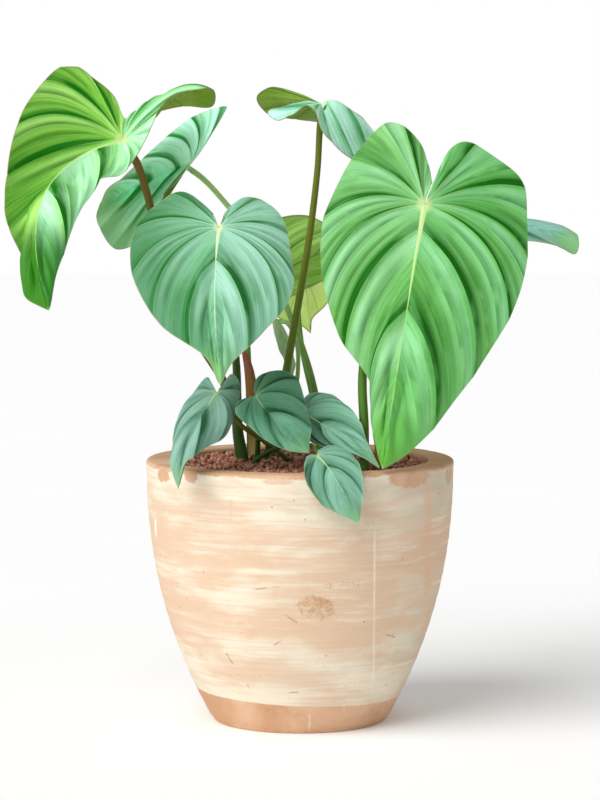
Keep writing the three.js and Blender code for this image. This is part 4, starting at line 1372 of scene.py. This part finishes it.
def by_index(part):
    return part.index


def many_balls(count):
    """A bmesh of this many equal balls in one place, made by doubling, and the corners of one."""
    bm = bmesh.new()
    bmesh.ops.create_uvsphere(bm, u_segments=8, v_segments=6, radius=1)
    ball = bpy.data.meshes.new("ball")
    bm.to_mesh(ball)
    bm.free()
    bm = bmesh.new()
    bm.from_mesh(ball)
    bpy.data.meshes.remove(ball)
    corners = len(bm.verts)
    made = 1
    while made < count:
        bm.verts.ensure_lookup_table()
        extra = bm.verts[:min(made, count - made) * corners]
        faces = {face for vertex in extra for face in vertex.link_faces}
        edges = {edge for vertex in extra for edge in vertex.link_edges}
        parts = [*extra, *sorted(edges, key=by_index), *sorted(faces, key=by_index)]
        bmesh.ops.duplicate(bm, geom=parts)
        made += len(extra) // corners
    return bm, corners


bed_edge = cavity_radius(POT_HEIGHT - BED_DROP) - WALL_GAP
places = lump_places(bed_edge)
bm, lump_corners = many_balls(len(places))
tone = bm.verts.layers.float.new("tone")
tones = draw.uniform(size=len(places))
bm.verts.ensure_lookup_table()
for index, place in enumerate(places):
    turn = Matrix.Rotation(draw.uniform(0, 2 * math.pi), 3, Vector(draw.normal(size=3)))
    size = draw.uniform(*LUMP_RANGE, size=3) * LUMP_SIZE
    ball = bm.verts[index * lump_corners:(index + 1) * lump_corners]
    rough = draw.uniform(-LUMP_ROUGHNESS, LUMP_ROUGHNESS, size=(lump_corners, 3))
    shape = (np.array([vertex.co for vertex in ball]) * size + rough) @ np.array(turn) + place
    for vertex, corner in zip(ball, shape):
        vertex.co = corner * MM
        vertex[tone] = tones[index]
print(len(places), "lumps of", lump_corners, "corners")

# %% Granule finish
LUMP_COLOURS = dict(dark=(0.16, 0.05, 0.035), red=(0.46, 0.19, 0.13), dusty=(0.66, 0.37, 0.28))
# The bed's colour is painted shade for the deep gaps between the lumps.
BED_COLOUR = (0.05, 0.018, 0.014)
BED_SPIN_STEPS = 96


def granule_finish():
    """Fired clay, from dark red to a dusty pink, pitted all over."""
    finish = Finish("clay_granules", Specular_IOR_Level=0.2)
    tone = finish.attribute("tone")
    place = finish.place()
    dust = finish.noise(place, scale=260, detail=3, rough=0.6)
    pits = finish.fade(finish.noise(place, scale=900, detail=2), 0.30, 0.45)
    finish.colour(finish.coats(
        LUMP_COLOURS["dark"],
        (finish.ease(tone, 0.0, 0.35), LUMP_COLOURS["red"]),
        (finish.ease(tone + 0.5 * dust, 0.75, 1.25), LUMP_COLOURS["dusty"]),
        (pits * 0.7, LUMP_COLOURS["dark"]),
    ))
    finish.roughness(0.82 + 0.15 * dust)
    finish.bump(dust - pits * 0.6, distance=0.0008, strength=0.8)
    return finish


granule_skin = granule_finish()
lumps = finished_object("clay_lumps", bm, [granule_skin])
settle(lumps, "granules", "granules")


def bed_profile():
    floor_level = FLOOR_THICKNESS + WALL_GAP
    profile = [(0, floor_level)]
    for height in np.linspace(floor_level, POT_HEIGHT - BED_DROP, WALL_STEPS // 4):
        profile.append((cavity_radius(height) - WALL_GAP, height))
    for share in np.linspace(1, 0, WALL_STEPS // 2)[1:]:
        profile.append((bed_edge * share, bed_height(bed_edge * share, bed_edge)))
    return profile


def bed_finish():
    """Painted shade in the deep gaps between the lumps, a little lighter where dust has gathered."""
    finish = Finish("clay_bed", Specular_IOR_Level=0.1)
    dust = finish.noise(finish.place(), scale=300, detail=2)
    finish.colour(finish.mix(finish.ease(dust, 0.45, 0.75), BED_COLOUR, LUMP_COLOURS["dark"]))
    finish.roughness(0.9 + 0.1 * dust)
    return finish


bed = finished_object("clay_bed", spun(bed_profile(), BED_SPIN_STEPS), [bed_finish()])
settle(bed, "granules", "granules")

# %% [markdown]
# Beside the thick stalk stands a dry sheath, the leaf's old wrapper: a flattened tapering blade of
# papery fibre, pinkish at the top and pale yellow at the foot. A shorter brown one stands at the
# right stalk, and a short cut stub between the stalks.

# %% Sheaths and stub
FIBRE_TURNS = 20
FIBRE_SHADE = 0.35
SHEATHS = {
    "sheath_red": dict(
        line=[(-46, 47, 212), (-46, 47, 250), (-47, 45, 290), (-48, 42, 320), (-51, 40, 342),
            (-56, 38, 360)],
        base=6.5, top=1.8, taper=6, flatness=0.5, slot="sheath",
        colours=((0.62, 0.52, 0.17), (0.36, 0.18, 0.045), (0.46, 0.13, 0.10))),
    "sheath_right": dict(
        line=[(71, -78, 222), (72, -77, 250), (75, -75, 270), (72, -74, 288), (69, -74, 304)],
        base=3.6, top=1.0, taper=6, flatness=0.6, slot="sheath",
        colours=((0.16, 0.13, 0.03), (0.34, 0.16, 0.05), (0.40, 0.22, 0.08))),
    "stub": dict(
        line=[(-18, 8, 226), (-18, 8, 250), (-17, 6, 258)],
        base=2.0, top=1.6, taper=1, flatness=1.0, slot="stalk_green",
        colours=((0.05, 0.09, 0.01), (0.10, 0.18, 0.03), (0.40, 0.36, 0.16))),
}


def sheath_finish(name, colours):
    """Dry fibre: three colours from foot to tip, and fine dark and light lines along it."""
    foot, body, tip = colours
    finish = Finish(name, Specular_IOR_Level=0.3)
    around, along = finish.chart()
    strands = finish.math("PINGPONG", around * 2 * FIBRE_TURNS, FIBRE_TURNS)
    fibres = finish.noise(finish.vector(strands, along * 2), detail=3, rough=0.65)
    height = along + (fibres - 0.5) * 0.2
    dark = tuple(part * FIBRE_SHADE for part in body)
    finish.colour(finish.coats(
        foot,
        (finish.ease(height, 0.30, 0.48), body),
        (finish.ease(height, 0.72, 0.96), tip),
        (finish.ease(fibres, 0.55, 0.75) * 0.4, foot),
        (finish.fade(fibres, 0.3, 0.45) * 0.45, dark),
    ))
    finish.roughness(0.55 + 0.2 * fibres)
    finish.bump(fibres, distance=0.0008, strength=0.7)
    return finish


for name, sheath in SHEATHS.items():
    shares = np.linspace(0, 1, STALK_RINGS // 2)
    radii = sheath["base"] + (sheath["top"] - sheath["base"]) * shares ** sheath["taper"]
    bm = tube(SmoothCurve(sheath["line"]).walked(shares), radii, flatness=sheath["flatness"])
    piece = finished_object(f"{name}_piece", bm, [sheath_finish(f"{name}_finish", sheath["colours"])])
    settle(piece, sheath["slot"], name)
